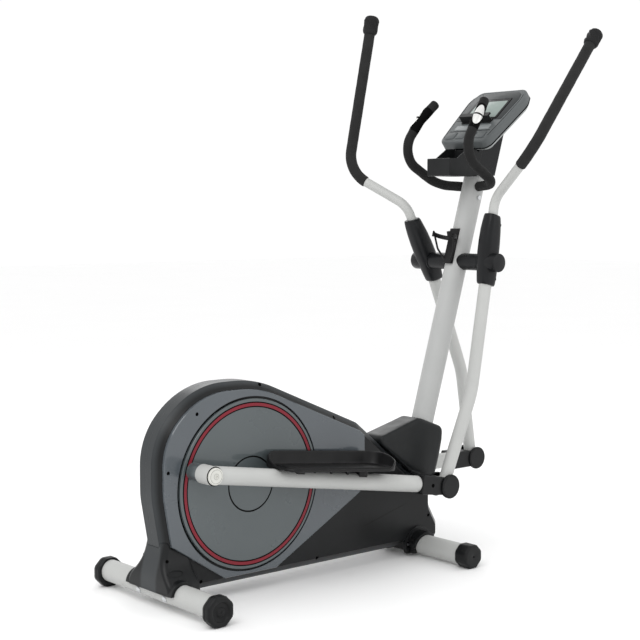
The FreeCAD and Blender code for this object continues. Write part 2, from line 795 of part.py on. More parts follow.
def arm_pins():
    """The pin in the rear bush, with its round end cap, and the bolt through the front fork."""
    pin = across(0, 0, -(boss_end_y + pin_gap), -pin_bush_end_y - 1, pin_r)
    end = -pin_bush_end_y - pin_cap_thick
    cap = across(0, 0, -pin_bush_end_y, end, pin_bush_r - 2.5)
    cap = cap.makeChamfer(2.0, end_circle(cap, end))
    dimple = across(0, 0, end + 2, end - 1, 4)
    bolt = across(pedal_length, 0, -fork_y0 + 4, -fork_y1 - 4, pivot_bolt_r)
    return Part.makeCompound([one(pin.fuse(cap).cut(dimple)), bolt])


def joint_cover():
    """The dark cover round the fork, with a round disc on each face and a slot for the leg."""
    y0, y1 = -(fork_y0 - 3), -(fork_y1 + 3)
    back = pedal_length - cover_reach
    h = cover_half_height
    outline = [(back, -h, 6), (pedal_length, -h + 2, 0), (pedal_length, h - 2, 0), (back, h, 6)]
    sleeve = side_plate(outline, y0, y1)
    sleeve = sleeve.makeChamfer(cover_edge, rim_edges(sleeve, y0) + rim_edges(sleeve, y1))
    discs = across(pedal_length, 0, y0 + 5, y1 - 5, cover_disc_r)
    discs = discs.makeChamfer(2.0, [e for e in discs.Edges if e.Closed])
    body = sleeve.fuse(discs)
    slot = block(pedal_length - 34, pedal_length + 60, -fork_y1, -fork_y0, -60, 60)
    bore = rod(V(back - 1, -arm_y, 0), V(pedal_length - 20, -arm_y, 0), pedal_tube_r + 0.1)
    cheeks = block(pedal_length - fork_reach - 0.1, pedal_length, -fork_y1 - 0.1, -fork_y0 + 0.1, -16.1, 16.1)
    cheeks = cheeks.fuse(across(pedal_length, 0, -fork_y0 + 0.1, -fork_y1 - 0.1, 16.1))
    pin = across(pedal_length, 0, -fork_y0 + 4.2, -fork_y1 - 4.2, pivot_bolt_r + 0.1)
    body = body.cut(slot).cut(bore).cut(cheeks).cut(pin)
    screw = across(back + 42, 0, y1 + 2, y1 - 2, 5)
    return one(body.cut(screw))


def foot_plate():
    """A moulded foot plate with a low outer rim and a taller inner and front wall, on two ribs."""
    x0 = plate_back
    x1 = plate_back + plate_length
    z0 = plate_lift
    radii = [14.0, 30.0, 46.0, 20.0]

    def slab(inset, low, high):
        near, far = -plate_inner_y - inset, -plate_outer_y + inset
        back, front = x0 + inset, x1 - inset
        points = [V(back, near, low), V(front, near, low), V(front, far, low), V(back, far, low)]
        outline = rounded(points, [max(r - inset, 2.0) for r in radii], True)
        return Part.Face(outline).extrude(V(0, 0, high - low))

    floor_top = z0 + plate_thick
    tall = slab(0, z0, z0 + plate_inner_wall)
    top = z0 + plate_inner_wall
    ramp = side_plate([(x0 - 1, z0 + plate_rim, 0), (x0 + 70, top, 0), (x1 + 1, top, 0),
                       (x1 + 1, z0 - 1, 0), (x0 - 1, z0 - 1, 0)], -plate_inner_y, -plate_outer_y)
    plate = tall.common(ramp)
    hip, edge = -plate_inner_y - 26, -plate_outer_y - 1
    slope = [V(x0 - 1, hip, top), V(x0 - 1, edge, z0 + plate_rim - 8), V(x0 - 1, edge, top + 50),
             V(x0 - 1, hip, top + 50), V(x0 - 1, hip, top)]
    plate = plate.cut(Part.Face(Part.makePolygon(slope)).extrude(V(plate_length + 2, 0, 0)))
    plate = plate.cut(slab(plate_wall, floor_top, z0 + 100))
    for k in range(9):
        y = -plate_inner_y - 22 - k * 11.0
        plate = plate.cut(block(x0 + 26, x1 - 40, y - 3.5, y, floor_top - 1.2, floor_top + 1))
    ribs = []
    for x in (x0 + 70, x1 - 90):
        ribs.append(block(x - 20, x + 20, -arm_y - 20, -arm_y + 20, 0, z0 + 1))
    body = plate.multiFuse(ribs)
    body.rotate(V((x0 + x1) / 2, 0, z0), V(0, -1, 0), plate_tilt_deg)
    return one(body.cut(rod(V(0, -arm_y, 0), V(pedal_length, -arm_y, 0), pedal_tube_r)))


# ---- swing arms: built about the upper pivot, hanging straight down, on the right side ----

LEG_POINTS = [V(-9, -arm_y, 70), V(10, -arm_y, -60), V(leg_bend_x, -arm_y, leg_bend_z),
              V(0, -arm_y, -leg_length)]
LEG_RADII = [200.0, 260.0]
BAR_POINTS = [bar_low, bar_bend_low, bar_bend_high, bar_top]
BAR_RADII = [70.0, 100.0]


def swing_leg():
    tube = bent(LEG_POINTS, LEG_RADII, leg_r, leg_r - leg_wall)
    hub = across(0, 0, -(spacer_end_y + 1), -cover_end_y, pivot_hub_r)
    bush = across(0, -leg_length, -(fork_y0 + fork_thick + 0.5), -(fork_y1 - fork_thick - 0.5), leg_bush_r)
    end = Part.makeSphere(leg_r, V(0, -arm_y, -leg_length))
    body = tube.multiFuse([hub, bush, end]).cut(bent(BAR_POINTS, BAR_RADII, bar_r))
    body = body.cut(across(0, 0, -90, -170, shaft_r + running))
    return one(body.cut(across(0, -leg_length, -90, -170, pivot_bolt_r + running)))


def swing_bar():
    bar = bent(BAR_POINTS, BAR_RADII, bar_r, bar_r - bar_wall)
    return one(bar.cut(rod(V(0, -90, 0), V(0, -170, 0), pivot_hub_r + 0.2)))


def grip():
    """The foam grip: it starts on the slanting run below the upper bend and ends under the knob."""
    slant = (bar_bend_low - bar_bend_high).normalize()
    start = bar_bend_high + slant * (grip_lap + 3.0)
    points = [start, bar_bend_high, bar_top - (bar_top - bar_bend_high).normalize() * 2.0]
    radius = BAR_RADII[1]
    half = (start - bar_bend_high).getAngle(points[2] - bar_bend_high) / 2
    radius = min(radius, (grip_lap + 2.0) * math.tan(half))
    foam = bent(points, [radius], grip_r)
    core = bent(BAR_POINTS, BAR_RADII, bar_r)
    return one(foam.cut(core))


def knob():
    along = (bar_top - bar_bend_high).normalize()
    base = bar_top - along * knob_neck
    head = rod(base, base + along * knob_length, knob_r)
    head = head.makeFillet(knob_round, [e for e in head.Edges if isinstance(e.Curve, Part.Circle)])
    return one(head.cut(rod(base - along, bar_top, grip_r + 0.1)))


def pivot_cover():
    """The moulded cover over the joint of leg and bar, with the hub's round end."""
    def ring(z, x, y, half_x, half_y, r):
        ways = ((-1, -1), (1, -1), (1, 1), (-1, 1))
        return rounded([V(x + sx * half_x, y + sy * half_y, z) for sx, sy in ways], [r] * 4, True)

    around = leg_r + 5
    sections = [ring(-62, 11, -arm_y, around + 3, around, 12),
                ring(-20, 4, -arm_y, around + 7, around + 1, 14),
                ring(70, -12, -arm_y - 2, around + 7, around + 1, 14),
                ring(137, -22, -arm_y - 6, around - 1, around - 2, 12)]
    body = Part.makeLoft(sections, True, True)
    hub = across(0, 0, -cover_end_y + 14, -hub_cap_end_y, hub_cap_r)
    hub = hub.makeChamfer(2.0, end_circle(hub, -hub_cap_end_y))
    body = body.fuse(hub)
    body = body.cut(bent(LEG_POINTS, LEG_RADII, leg_r))
    body = body.cut(bent(BAR_POINTS, BAR_RADII, bar_r))
    body = body.cut(across(0, 0, -spacer_end_y + 10, -cover_end_y, pivot_hub_r))
    body = body.cut(across(0, 0, -90, -cover_end_y - 15, shaft_r + 1))
    body = body.cut(across(0, 0, -90, -(spacer_end_y + 1), spacer_r + 3))
    for z, x in ((-44, 22), (118, -8)):
        body = body.cut(across(x, z, -arm_y - around + 7, -200, 3.2))
    return one(body)


# ---- handlebar and console ----

def handle_path(side):
    points = [on_mast(handle_z)]
    return points + [V(p.x, side * p.y, p.z) for p in handle_points]


def handle_side(side, outer, inner=0.0):
    return bent(handle_path(side), handle_radii, outer, inner)


def handle_solid(radius):
    return handle_side(-1, radius).fuse(handle_side(1, radius))


def handlebar():
    return one(handle_solid(handle_r).cut(handle_solid(handle_r - handle_wall)))


def handle_foams():
    """The foam over each side of the bar, from near the mast to a closed end past the tip."""
    foams = []
    for side in (-1, 1):
        path = handle_path(side)
        along = (path[-1] - path[-2]).normalize()
        tip = rod(path[-1], path[-1] + along * foam_end, handle_foam_r)
        low, high = sorted((side * foam_start_y, side * 400))
        outside = block(path[0].x - 400, path[0].x + 400, low, high, handle_z - 100, handle_z + 500)
        foam = handle_side(side, handle_foam_r).fuse(tip).common(outside)
        foams.append(one(foam.cut(handle_side(side, handle_r))))
    return Part.makeCompound(foams)


def pulse_sensors():
    """Two oval contact plates on the rear outer face of each grip, one above the other."""
    plates = []
    for side in (-1, 1):
        path = handle_path(side)
        along = (path[-1] - path[-3]).normalize()
        out = V(-0.7, side * 0.72, 0.3)
        out = (out - along * out.dot(along)).normalize()
        across_bar = along.cross(out)
        shell = handle_side(side, handle_foam_r + sensor_proud, handle_foam_r + 0.1)
        centre = path[-2]
        tip, brow = along * sensor_half_length, across_bar * sensor_half_width
        oval = Part.Ellipse(centre + tip, centre + brow, centre)
        oval = Part.Face(Part.Wire(oval.toShape())).extrude(out * 40)
        for step in (-1, 1):
            middle = centre + along * (step * (sensor_half_length + sensor_gap / 2))
            half = rod(middle - along * sensor_half_length, middle + along * sensor_half_length, 40)
            plates.append(one(shell.common(oval).common(half)))
    return Part.makeCompound(plates)


def console_frame(shape):
    """Tilts a shape drawn flat (X up the face, Z out of it) into the console's place."""
    placed = shape.copy()
    placed.rotate(V(0, 0, 0), V(0, -1, 0), console_tilt_deg)
    placed.translate(V(console_x, 0, console_z))
    return placed


def console_room():
    """Everything above the console's back face, from its lower edge upward."""
    return console_frame(block(-1, 500, -300, 300, -console_thick - console_back_thick - 0.2, 600))


def console_outline(inset, z):
    points = [V(inset, console_bottom_half - inset, z), V(console_wide_u, console_wide_half - inset, z),
              V(console_length - inset, console_top_half - inset, z)]
    points += [V(p.x, -p.y, p.z) for p in reversed(points)]
    radii = [26 - inset * 0.5, 60 - inset * 0.5, 24 - inset * 0.5]
    return rounded(points, radii + list(reversed(radii)), True)


def key_box(k, play, low, high):
    y = (k - (key_count - 1) / 2) * key_pitch
    return block(key_u0 - play, key_u1 + play, y - key_width / 2 - play, y + key_width / 2 + play, low, high)


def console_housing():
    face = Part.Face(console_outline(0, -console_thick)).extrude(V(0, 0, console_thick))
    top = [e for e in face.Edges if all(abs(v.Point.z) < 0.01 for v in e.Vertexes)]
    face = face.makeChamfer(6.0, top)
    room = Part.Face(console_outline(console_wall + 5, -console_thick - 1))
    room = room.extrude(V(0, 0, console_thick - 7))
    body = face.cut(room)
    body = body.cut(block(screen_u0, screen_u1, -screen_half, screen_half, -20, 5))
    for k in range(key_count):
        body = body.cut(key_box(k, key_play, -20, 5))
    return one(body)


def console_back():
    under = -console_thick - console_back_thick
    back = Part.Face(console_outline(1.5, under)).extrude(V(0, 0, console_back_thick))
    edge = [e for e in back.Edges if all(abs(v.Point.z - under) < 0.01 for v in e.Vertexes)]
    return one(back.makeChamfer(8.0, edge))


def console_screen():
    return block(screen_u0 + 0.1, screen_u1 - 0.1, -screen_half + 0.1, screen_half - 0.1, -7.5, -2.0)


def tablet_ledge():
    """A black channel across the face below the screen, to stand a tablet or book on."""
    u, half = ledge_u, ledge_half
    shelf = block(u, u + 6, -half, half, 0, ledge_height - 1)
    lip = block(u, u + 16, -half, half, ledge_height - 5, ledge_height)
    foot = block(u - 4, u + 12, -half, half, 0, 4)
    return fuse([shelf, lip, foot])


def console_key(k):
    return key_box(k, 0.0, -6.0, 1.8)


def console_neck():
    """The dark moulding between the mast's top and the console's back."""
    rear, front = mast_r + 9, mast_r + 12
    z0, z1 = mast_cover_low_z, mast_cover_top_z
    x0, x1 = mast_axis_x(z0), mast_axis_x(z1)
    outline = [(x0 - rear, z0, 3), (x0 + front, z0, 3), (x1 + front, z1, 0), (x1 - rear, z1, 0)]
    column = side_plate(outline, -mast_cover_half, mast_cover_half)
    body = column.cut(console_room())
    body = body.cut(rod(on_mast(mast_foot_z), on_mast(mast_top_z), mast_r + 0.1))
    return one(body)


def cup_tray():
    """An open box on the mast's rear for a cup and small things, its sides rising to the mast."""
    front = mast_axis_x(tray_z0) - mast_r - 9
    outline = [(tray_x0, tray_z0, 4), (front, tray_z0, 0), (front + 25, tray_front_z, 0),
               (front - 40, tray_front_z, 14), (tray_x0 + 34, tray_back_z, 14), (tray_x0, tray_back_z, 3)]
    outer = side_plate(outline, -tray_half, tray_half)
    room = block(tray_x0 + tray_wall, front - tray_wall, -tray_half + tray_wall, tray_half - tray_wall,
                 tray_z0 + tray_wall, tray_front_z + 20)
    body = outer.cut(room)
    return one(body.cut(console_neck()).cut(console_room()))


def bottle_cage():
    """A clip-on bottle holder: a strip down the mast and an open ring on two arms that sweep down to it."""
    tilt = (on_mast(1) - on_mast(0)).normalize()
    skin = mast_r / math.cos(math.radians(mast_lean_deg))

    def behind(z, away):
        return mast_axis_x(z) - skin - away

    def round_bottle(z, angle_deg, radius):
        angle = math.radians(angle_deg)
        return V(behind(z, cage_r + 6) + radius * math.cos(angle), radius * math.sin(angle), z)

    outline = [(behind(cage_z0, 9), cage_z0, 2), (behind(cage_z0, -3), cage_z0, 0),
               (behind(cage_z1, -3), cage_z1, 0), (behind(cage_z1, 9), cage_z1, 2)]
    strip = side_plate(outline, -cage_strip_half, cage_strip_half)
    top = round_bottle(cage_z1 - 14, 0, 0)
    band = pipe(top - tilt * cage_band, top, cage_r, cage_r - cage_wall)
    mouth = block(top.x - 80, top.x - cage_r * 0.55, -80, 80, top.z - 80, top.z + 80)
    parts = [strip, band.cut(mouth)]
    for side in (-1, 1):
        hook = round_bottle(top.z - 2, side * 118, cage_r - cage_wall / 2)
        parts.append(rod(hook - tilt * 8, hook + tilt * 9, cage_rod_r))
        arm = [round_bottle(z, side * angle, cage_r + 1) for z, angle in
               ((top.z - 6, 95), (cage_z0 + 44, 62), (cage_z0 + 10, 18))]
        parts.append(bent(arm, [24.0], cage_rod_r))
    body = parts[0].multiFuse(parts[1:])
    return one(body.cut(rod(on_mast(mast_foot_z), on_mast(mast_top_z), mast_r)))


# ---- all nodes ----

def build():
    right_leg_at = (right_arm_deg, pivot_x, pivot_z)
    left_leg_at = (left_arm_deg, pivot_x, pivot_z)
    right_pedal_at = (right_pedal_deg, right_pin[0], right_pin[1])
    left_pedal_at = (left_pedal_deg, left_pin[0], left_pin[1])
    nodes = {
        "main_frame": main_frame(),
        "rear_stabilizer": stabilizer(rear_x, rear_z, rear_half, REAR_BOLTS),
        "front_stabilizer": stabilizer(front_x, front_z, front_half, FRONT_BOLTS),
        "frame_bolts": frame_bolts(),
        "mast": mast(),
        "mast_boot": mast_boot(),
        "housing_left": housing_left(),
        "housing_right": mirrored(housing_left()),
        "side_panel_left": side_panel_left(),
        "side_panel_right": mirrored(side_panel_left()),
        "housing_screws": housing_screws(),
        "rear_foot_cover": rear_foot_cover(),
        "crank_bearings": crank_bearings(),
        "drive_belt": drive_belt(),
        "flywheel_axle": flywheel_axle(),
        "pivot_shaft": pivot_shaft(),
        "pivot_spacers": pivot_spacers(),
        "handlebar": handlebar(),
        "handle_foams": handle_foams(),
        "pulse_sensors": pulse_sensors(),
        "console_housing": console_frame(console_housing()),
        "console_back": console_frame(console_back()),
        "console_screen": console_frame(console_screen()),
        "tablet_ledge": console_frame(tablet_ledge()),
        "console_neck": console_neck(),
        "cup_tray": cup_tray(),
        "bottle_cage": bottle_cage(),
        "crank_axle": crank_axle(),
        "crank_arms": crank_arms(),
        "crank_disc_right": crank_disc(-1, right_pin),
        "crank_disc_left": crank_disc(1, left_pin),
        "disc_rings": disc_rings(),
        "drive_pulley": drive_pulley(),
        "flywheel": flywheel(),
        "brake_bracket": brake_bracket(),
    }
    front_cap = octagon_cap(front_x, front_cap_apothem, front_z, front_half, front_cap_width)
    nodes["front_caps"] = Part.makeCompound([front_cap, mirrored(front_cap)])
    leveller = octagon_cap(rear_x, leveller_apothem, rear_z, rear_half, leveller_width)
    nodes["leveller_left"] = leveller
    nodes["leveller_right"] = mirrored(leveller)
    for k in range(key_count):
        nodes["console_key_%d" % (k + 1)] = console_frame(console_key(k))
    arm_parts = {"swing_leg": swing_leg(), "swing_bar": swing_bar(), "pivot_cover": pivot_cover(),
                 "grip": grip(), "knob": knob()}
    for name, shape in arm_parts.items():
        nodes["right_" + name] = turned(shape, *right_leg_at)
        nodes["left_" + name] = turned(mirrored(shape), *left_leg_at)
    pedal_parts = {"pedal_arm": pedal_arm(), "arm_pins": arm_pins(), "joint_cover": joint_cover(),
                   "foot_plate": foot_plate()}
    for name, shape in pedal_parts.items():
        nodes["right_" + name] = turned(shape, *right_pedal_at)
        nodes["left_" + name] = turned(mirrored(shape), *left_pedal_at)
    return nodes


def main():
    os.makedirs("parts", exist_ok=True)
    for name, shape in build().items():
        shape.exportStep("parts/" + name + ".step")
    print("left arm %.3f, pedal length %.2f" % (left_arm_deg, pedal_length))


main()
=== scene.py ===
import bpy
import json
import math
from mathutils import Matrix, Vector


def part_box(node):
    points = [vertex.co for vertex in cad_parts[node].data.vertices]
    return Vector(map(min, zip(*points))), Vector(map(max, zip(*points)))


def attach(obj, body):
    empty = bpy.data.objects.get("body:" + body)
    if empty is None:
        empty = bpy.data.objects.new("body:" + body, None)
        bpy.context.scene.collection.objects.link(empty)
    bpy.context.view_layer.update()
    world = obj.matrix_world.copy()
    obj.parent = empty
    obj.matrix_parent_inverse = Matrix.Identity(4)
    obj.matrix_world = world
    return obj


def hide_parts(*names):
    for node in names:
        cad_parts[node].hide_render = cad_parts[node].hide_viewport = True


# Elliptical trainer. Metres, +X forward, +Y the user's left, +Z up.

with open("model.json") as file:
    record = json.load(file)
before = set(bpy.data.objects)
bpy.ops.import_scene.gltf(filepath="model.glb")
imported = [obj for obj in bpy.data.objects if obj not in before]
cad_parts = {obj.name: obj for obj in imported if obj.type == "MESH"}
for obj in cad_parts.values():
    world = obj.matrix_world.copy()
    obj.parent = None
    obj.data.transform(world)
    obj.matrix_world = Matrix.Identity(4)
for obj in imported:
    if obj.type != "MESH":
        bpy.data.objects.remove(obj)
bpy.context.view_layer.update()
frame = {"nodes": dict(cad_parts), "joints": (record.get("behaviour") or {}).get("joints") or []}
nodes = frame["nodes"]
joints = {j["name"]: j for j in frame["joints"]}

SIDES = ("right", "left")
OUTWARD = {"right": -1, "left": 1}
CRANK = Vector(joints["crank_turn"]["pos_m"])
PIVOT = Vector(joints["right_arm_swing"]["pos_m"])
CRANK_RADIUS = 0.195
ARM_Y = 0.126
ARM_DEG = {"right": -15.5, "left": 17.357}
PIN_DEG = {"right": 163.1, "left": 343.1}
PEDAL_DEG = {"right": -9.093, "left": -1.127}
PEDAL_LENGTH = 0.86436

# The pressed line on the lower front of the housing: X and Z of its middle, and its turn about Y.
CREASE = (0.0565, 0.1364, math.radians(-14.2))


# ---- materials ----

def linear(rgb):
    """sRGB 0 to 255 to linear."""
    out = []
    for c in rgb:
        c = c / 255
        out.append(c / 12.92 if c <= 0.04045 else ((c + 0.055) / 1.055) ** 2.4)
    return out


class Paint:
    """A procedural surface: colour mottle and speckle, roughness variation, grain and softened edges."""

    def __init__(self, name, rgb, rough, metallic=0.0, coat=0.0, coat_rough=0.06, sheen=0.0, specular=0.5):
        self.m = bpy.data.materials.new(name)
        self.m.use_nodes = True
        self.n = self.m.node_tree.nodes
        self.l = self.m.node_tree.links
        self.b = self.n["Principled BSDF"]
        self.rgb = linear(rgb)
        self.rough = rough
        self.b.inputs["Base Color"].default_value = (*self.rgb, 1)
        self.b.inputs["Roughness"].default_value = rough
        self.b.inputs["Metallic"].default_value = metallic
        self.b.inputs["Coat Weight"].default_value = coat
        self.b.inputs["Coat Roughness"].default_value = coat_rough
        self.b.inputs["Sheen Weight"].default_value = sheen
        self.b.inputs["Specular IOR Level"].default_value = specular
        self.place = self.n.new("ShaderNodeTexCoord").outputs["Object"]
        self.colour = None
        self.normal = None

    def noise(self, scale, detail=2.0, stretch=None, distortion=0.0):
        place = self.place
        if stretch:
            mapping = self.n.new("ShaderNodeMapping")
            mapping.inputs["Scale"].default_value = stretch
            self.l.new(place, mapping.inputs["Vector"])
            place = mapping.outputs["Vector"]
        tex = self.n.new("ShaderNodeTexNoise")
        tex.inputs["Scale"].default_value = scale
        tex.inputs["Detail"].default_value = detail
        tex.inputs["Distortion"].default_value = distortion
        self.l.new(place, tex.inputs["Vector"])
        return tex.outputs["Fac"]

    def cells(self, scale):
        tex = self.n.new("ShaderNodeTexVoronoi")
        tex.inputs["Scale"].default_value = scale
        self.l.new(self.place, tex.inputs["Vector"])
        return tex.outputs["Distance"]

    def ranged(self, value, low, high, to_low, to_high):
        node = self.n.new("ShaderNodeMapRange")
        for name, number in (("From Min", low), ("From Max", high), ("To Min", to_low), ("To Max", to_high)):
            node.inputs[name].default_value = number
        self.l.new(value, node.inputs["Value"])
        return node.outputs["Result"]

    def tint(self, factor, rgb):
        """Mixes a colour in where factor is 1."""
        mix = self.n.new("ShaderNodeMix")
        mix.data_type = "RGBA"
        if self.colour is None:
            mix.inputs["A"].default_value = (*self.rgb, 1)
        else:
            self.l.new(self.colour, mix.inputs["A"])
        mix.inputs["B"].default_value = (*linear(rgb), 1)
        self.l.new(factor, mix.inputs["Factor"])
        self.colour = mix.outputs["Result"]
        return self

    def mottle(self, scale, rgb, amount=0.5, stretch=None):
        return self.tint(self.ranged(self.noise(scale, 4.0, stretch), 0.35, 0.7, 0.0, amount), rgb)

    def speckle(self, scale, rgb, amount=0.5, size=0.16):
        return self.tint(self.ranged(self.cells(scale), size, size * 0.4, 0.0, amount), rgb)

    def smudges(self, scale, spread, stretch=None):
        marks = self.noise(scale, 5.0, stretch)
        rough = self.ranged(marks, 0.3, 0.7, self.rough - spread, self.rough + spread)
        self.l.new(rough, self.b.inputs["Roughness"])
        return self

    def soften(self, radius):
        bevel = self.n.new("ShaderNodeBevel")
        bevel.samples = 4
        bevel.inputs["Radius"].default_value = radius
        self.normal = bevel.outputs["Normal"]
        return self

    def bump(self, height, strength, distance):
        node = self.n.new("ShaderNodeBump")
        node.inputs["Strength"].default_value = strength
        node.inputs["Distance"].default_value = distance
        self.l.new(height, node.inputs["Height"])
        if self.normal is not None:
            self.l.new(self.normal, node.inputs["Normal"])
        self.normal = node.outputs["Normal"]
        return self

    def done(self):
        if self.colour is not None:
            self.l.new(self.colour, self.b.inputs["Base Color"])
        if self.normal is not None:
            self.l.new(self.normal, self.b.inputs["Normal"])
        return self.m


def powder_coat(name, rgb):
    p = Paint(name, rgb, 0.52, specular=0.35, coat=0.08, coat_rough=0.35)
    bright = [min(255, c + 16) for c in rgb]
    dull = [c - 9 for c in rgb]
    p.mottle(9.0, dull, 0.55).speckle(1500.0, bright, 0.5, 0.22)
    p.smudges(22.0, 0.06).soften(0.0009)
    return p.bump(p.noise(700.0, 3.0), 0.10, 0.0004).done()


def moulded(name, rgb, rough=0.46, grain=1600.0, strength=0.22, soft=0.0012, lift=9, specular=0.22):
    p = Paint(name, rgb, rough, specular=specular)
    light = [c + lift for c in rgb]
    p.mottle(14.0, light, 0.5).speckle(1900.0, light, 0.45, 0.2)
    p.smudges(26.0, 0.07).soften(soft)
    p.bump(p.noise(grain, 4.0), strength, 0.00035)
    return p.bump(p.cells(grain * 0.7), strength * 0.6, 0.0002).done()


def gloss(name, rgb, flake, rough=0.30, coat=0.35):
    """Glossy metallic plastic under a clear coat, with fine hairline scratches."""
    p = Paint(name, rgb, rough, metallic=0.1, coat=coat, coat_rough=0.05, specular=0.35)
    p.mottle(5.0, [c - 6 for c in rgb], 0.6).speckle(2600.0, flake, 0.55, 0.24)
    p.smudges(12.0, 0.05).soften(0.0008)
    p.bump(p.noise(1500.0, 2.0), 0.03, 0.0002)
    return p.bump(p.noise(60.0, 6.0, (1.0, 1.0, 26.0), 0.6), 0.018, 0.0004).done()


def foam(name, rgb):
    """Closed-cell foam: matt, with open pores and a faint uneven skin."""
    p = Paint(name, rgb, 0.9, sheen=0.04, specular=0.12)
    p.mottle(30.0, [c + 9 for c in rgb], 0.5)
    p.speckle(1300.0, [max(0, c - 26) for c in rgb], 0.75, 0.28)
    p.speckle(2300.0, [c + 22 for c in rgb], 0.3, 0.14)
    p.smudges(40.0, 0.06)
    p.bump(p.cells(1100.0), 0.5, 0.0006)
    return p.bump(p.noise(260.0, 5.0), 0.35, 0.0008).done()


def metal(name, rgb, rough=0.25, stretch=(1.0, 40.0, 40.0)):
    p = Paint(name, rgb, rough, metallic=1.0)
    p.mottle(30.0, [c - 22 for c in rgb], 0.5, stretch)
    p.smudges(50.0, 0.08, stretch).soften(0.0006)
    return p.bump(p.noise(240.0, 3.0, stretch), 0.06, 0.0002).done()


def lcd():
    """The grey-green window: a faint mottle, a fine pixel mesh and a clear cover."""
    p = Paint("lcd_window", (140, 152, 147), 0.42, coat=0.12, coat_rough=0.2, specular=0.2)
    p.mottle(18.0, (128, 141, 136), 0.6)
    wave = p.n.new("ShaderNodeTexWave")
    wave.wave_type = "BANDS"
    wave.bands_direction = "Y"
    wave.inputs["Scale"].default_value = 170.0
    p.l.new(p.place, wave.inputs["Vector"])
    p.tint(p.ranged(wave.outputs["Fac"], 0.82, 1.0, 0.0, 0.16), (120, 132, 128))
    p.smudges(20.0, 0.04)
    return p.bump(p.noise(900.0), 0.02, 0.0001).done()


def belt_rubber():
    p = Paint("belt_rubber", (30, 30, 30), 0.6)
    p.mottle(40.0, (44, 44, 44), 0.5).smudges(60.0, 0.08)
    return p.bump(p.noise(900.0, 3.0), 0.3, 0.0004).done()


def shell_plastic():
    """The black housing in satin plastic, with a grey band round the middle of its rim and painted shade
    along its pressed line.
    """
    p = Paint("shell_plastic", (18, 19, 20), 0.33, specular=0.22)
    split = p.n.new("ShaderNodeSeparateXYZ")
    p.l.new(p.place, split.inputs["Vector"])
    away = p.n.new("ShaderNodeMath")
    away.operation = "ABSOLUTE"
    p.l.new(split.outputs["Y"], away.inputs[0])
    p.tint(p.ranged(away.outputs["Value"], 0.0300, 0.0400, 1.0, 0.0), (54, 57, 59))
    p.mottle(7.0, (32, 34, 35), 0.3).speckle(1800.0, (40, 42, 43), 0.3, 0.2)
    turn = p.n.new("ShaderNodeMapping")
    turn.vector_type = "TEXTURE"
    turn.inputs["Location"].default_value = (CREASE[0], 0.0, CREASE[1])
    turn.inputs["Rotation"].default_value = (0.0, CREASE[2], 0.0)
    p.l.new(p.place, turn.inputs["Vector"])
    part = p.n.new("ShaderNodeSeparateXYZ")
    p.l.new(turn.outputs["Vector"], part.inputs["Vector"])
    within = p.n.new("ShaderNodeMath")
    within.operation = "MULTIPLY"
    p.l.new(p.ranged(part.outputs["X"], -0.09, -0.05, 0.0, 1.0), within.inputs[0])
    p.l.new(p.ranged(part.outputs["X"], 0.07, 0.11, 1.0, 0.0), within.inputs[1])
    line = p.n.new("ShaderNodeMath")
    line.operation = "MULTIPLY"
    p.l.new(within.outputs["Value"], line.inputs[0])
    rise = p.n.new("ShaderNodeMath")
    rise.operation = "ABSOLUTE"
    p.l.new(part.outputs["Z"], rise.inputs[0])
    p.l.new(p.ranged(rise.outputs["Value"], 0.0010, 0.0030, 1.0, 0.0), line.inputs[1])
    # the pressed line is tinted near black: painted shade in the crease, on top of the real dent bumped in
    # below
    p.tint(line.outputs["Value"], (8, 8, 8))
    p.smudges(9.0, 0.05).soften(0.0022)
    p.bump(line.outputs["Value"], -0.6, 0.002)
    return p.bump(p.noise(1500.0, 3.0), 0.12, 0.0003).done()


def tread_plastic():
    """Black plastic with long grip grooves across the floor of the foot plate."""
    p = Paint("tread_plastic", (20, 20, 21), 0.42, specular=0.22)
    p.mottle(14.0, (28, 28, 29), 0.5).speckle(1900.0, (34, 34, 35), 0.4, 0.2)
    p.smudges(26.0, 0.06).soften(0.0008)
    wave = p.n.new("ShaderNodeTexWave")
    wave.wave_type = "BANDS"
    wave.bands_direction = "Y"
    wave.inputs["Scale"].default_value = 28.0
    p.l.new(p.place, wave.inputs["Vector"])
    facing = p.n.new("ShaderNodeNewGeometry")
    split = p.n.new("ShaderNodeSeparateXYZ")
    p.l.new(facing.outputs["Normal"], split.inputs["Vector"])
    upward = p.ranged(split.outputs["Z"], 0.9, 0.97, 0.0, 1.0)
    groove = p.n.new("ShaderNodeMath")
    groove.operation = "MULTIPLY"
    p.l.new(p.ranged(wave.outputs["Fac"], 0.35, 0.6, 0.0, 1.0), groove.inputs[0])
    p.l.new(upward, groove.inputs[1])
    p.bump(groove.outputs["Value"], 0.5, 0.0012)
    return p.bump(p.noise(1200.0, 3.0), 0.15, 0.0003).done()


tread = tread_plastic()
silver = powder_coat("silver_powder_coat", (184, 185, 183))
mast_silver = powder_coat("mast_powder_coat", (176, 177, 176))
black_paint = moulded("black_paint", (22, 22, 23), 0.45, 700.0, 0.12)
shell = shell_plastic()
panel = gloss("panel_gloss", (78, 84, 89), (102, 108, 114), 0.24, 0.7)
disc = gloss("disc_gloss", (80, 87, 89), (102, 109, 113), 0.3, 0.5)
ring = gloss("ring_gloss", (122, 14, 34), (150, 34, 52), 0.4, 0.1)
cover = moulded("cover_plastic", (19, 20, 22), 0.33, strength=0.10, soft=0.0035)
joint_black = moulded("joint_plastic", (16, 17, 18), 0.36)
boot = moulded("boot_plastic", (22, 24, 25), 0.38, strength=0.12, soft=0.005)
tray = moulded("tray_plastic", (22, 23, 24), 0.45, soft=0.002)
cap_black = moulded("cap_plastic", (15, 16, 17), 0.42, 1300.0, 0.2)
plate_black = moulded("plate_plastic", (20, 20, 21), 0.36, 1100.0, 0.25, 0.0022)
knob_rubber = moulded("knob_rubber", (26, 26, 27), 0.7, 900.0, 0.35)
# near black with almost no gloss: painted shade inside the screw counterbores
recess_shade = moulded("screw_black", (3, 3, 3), 0.8, lift=3, specular=0.02)
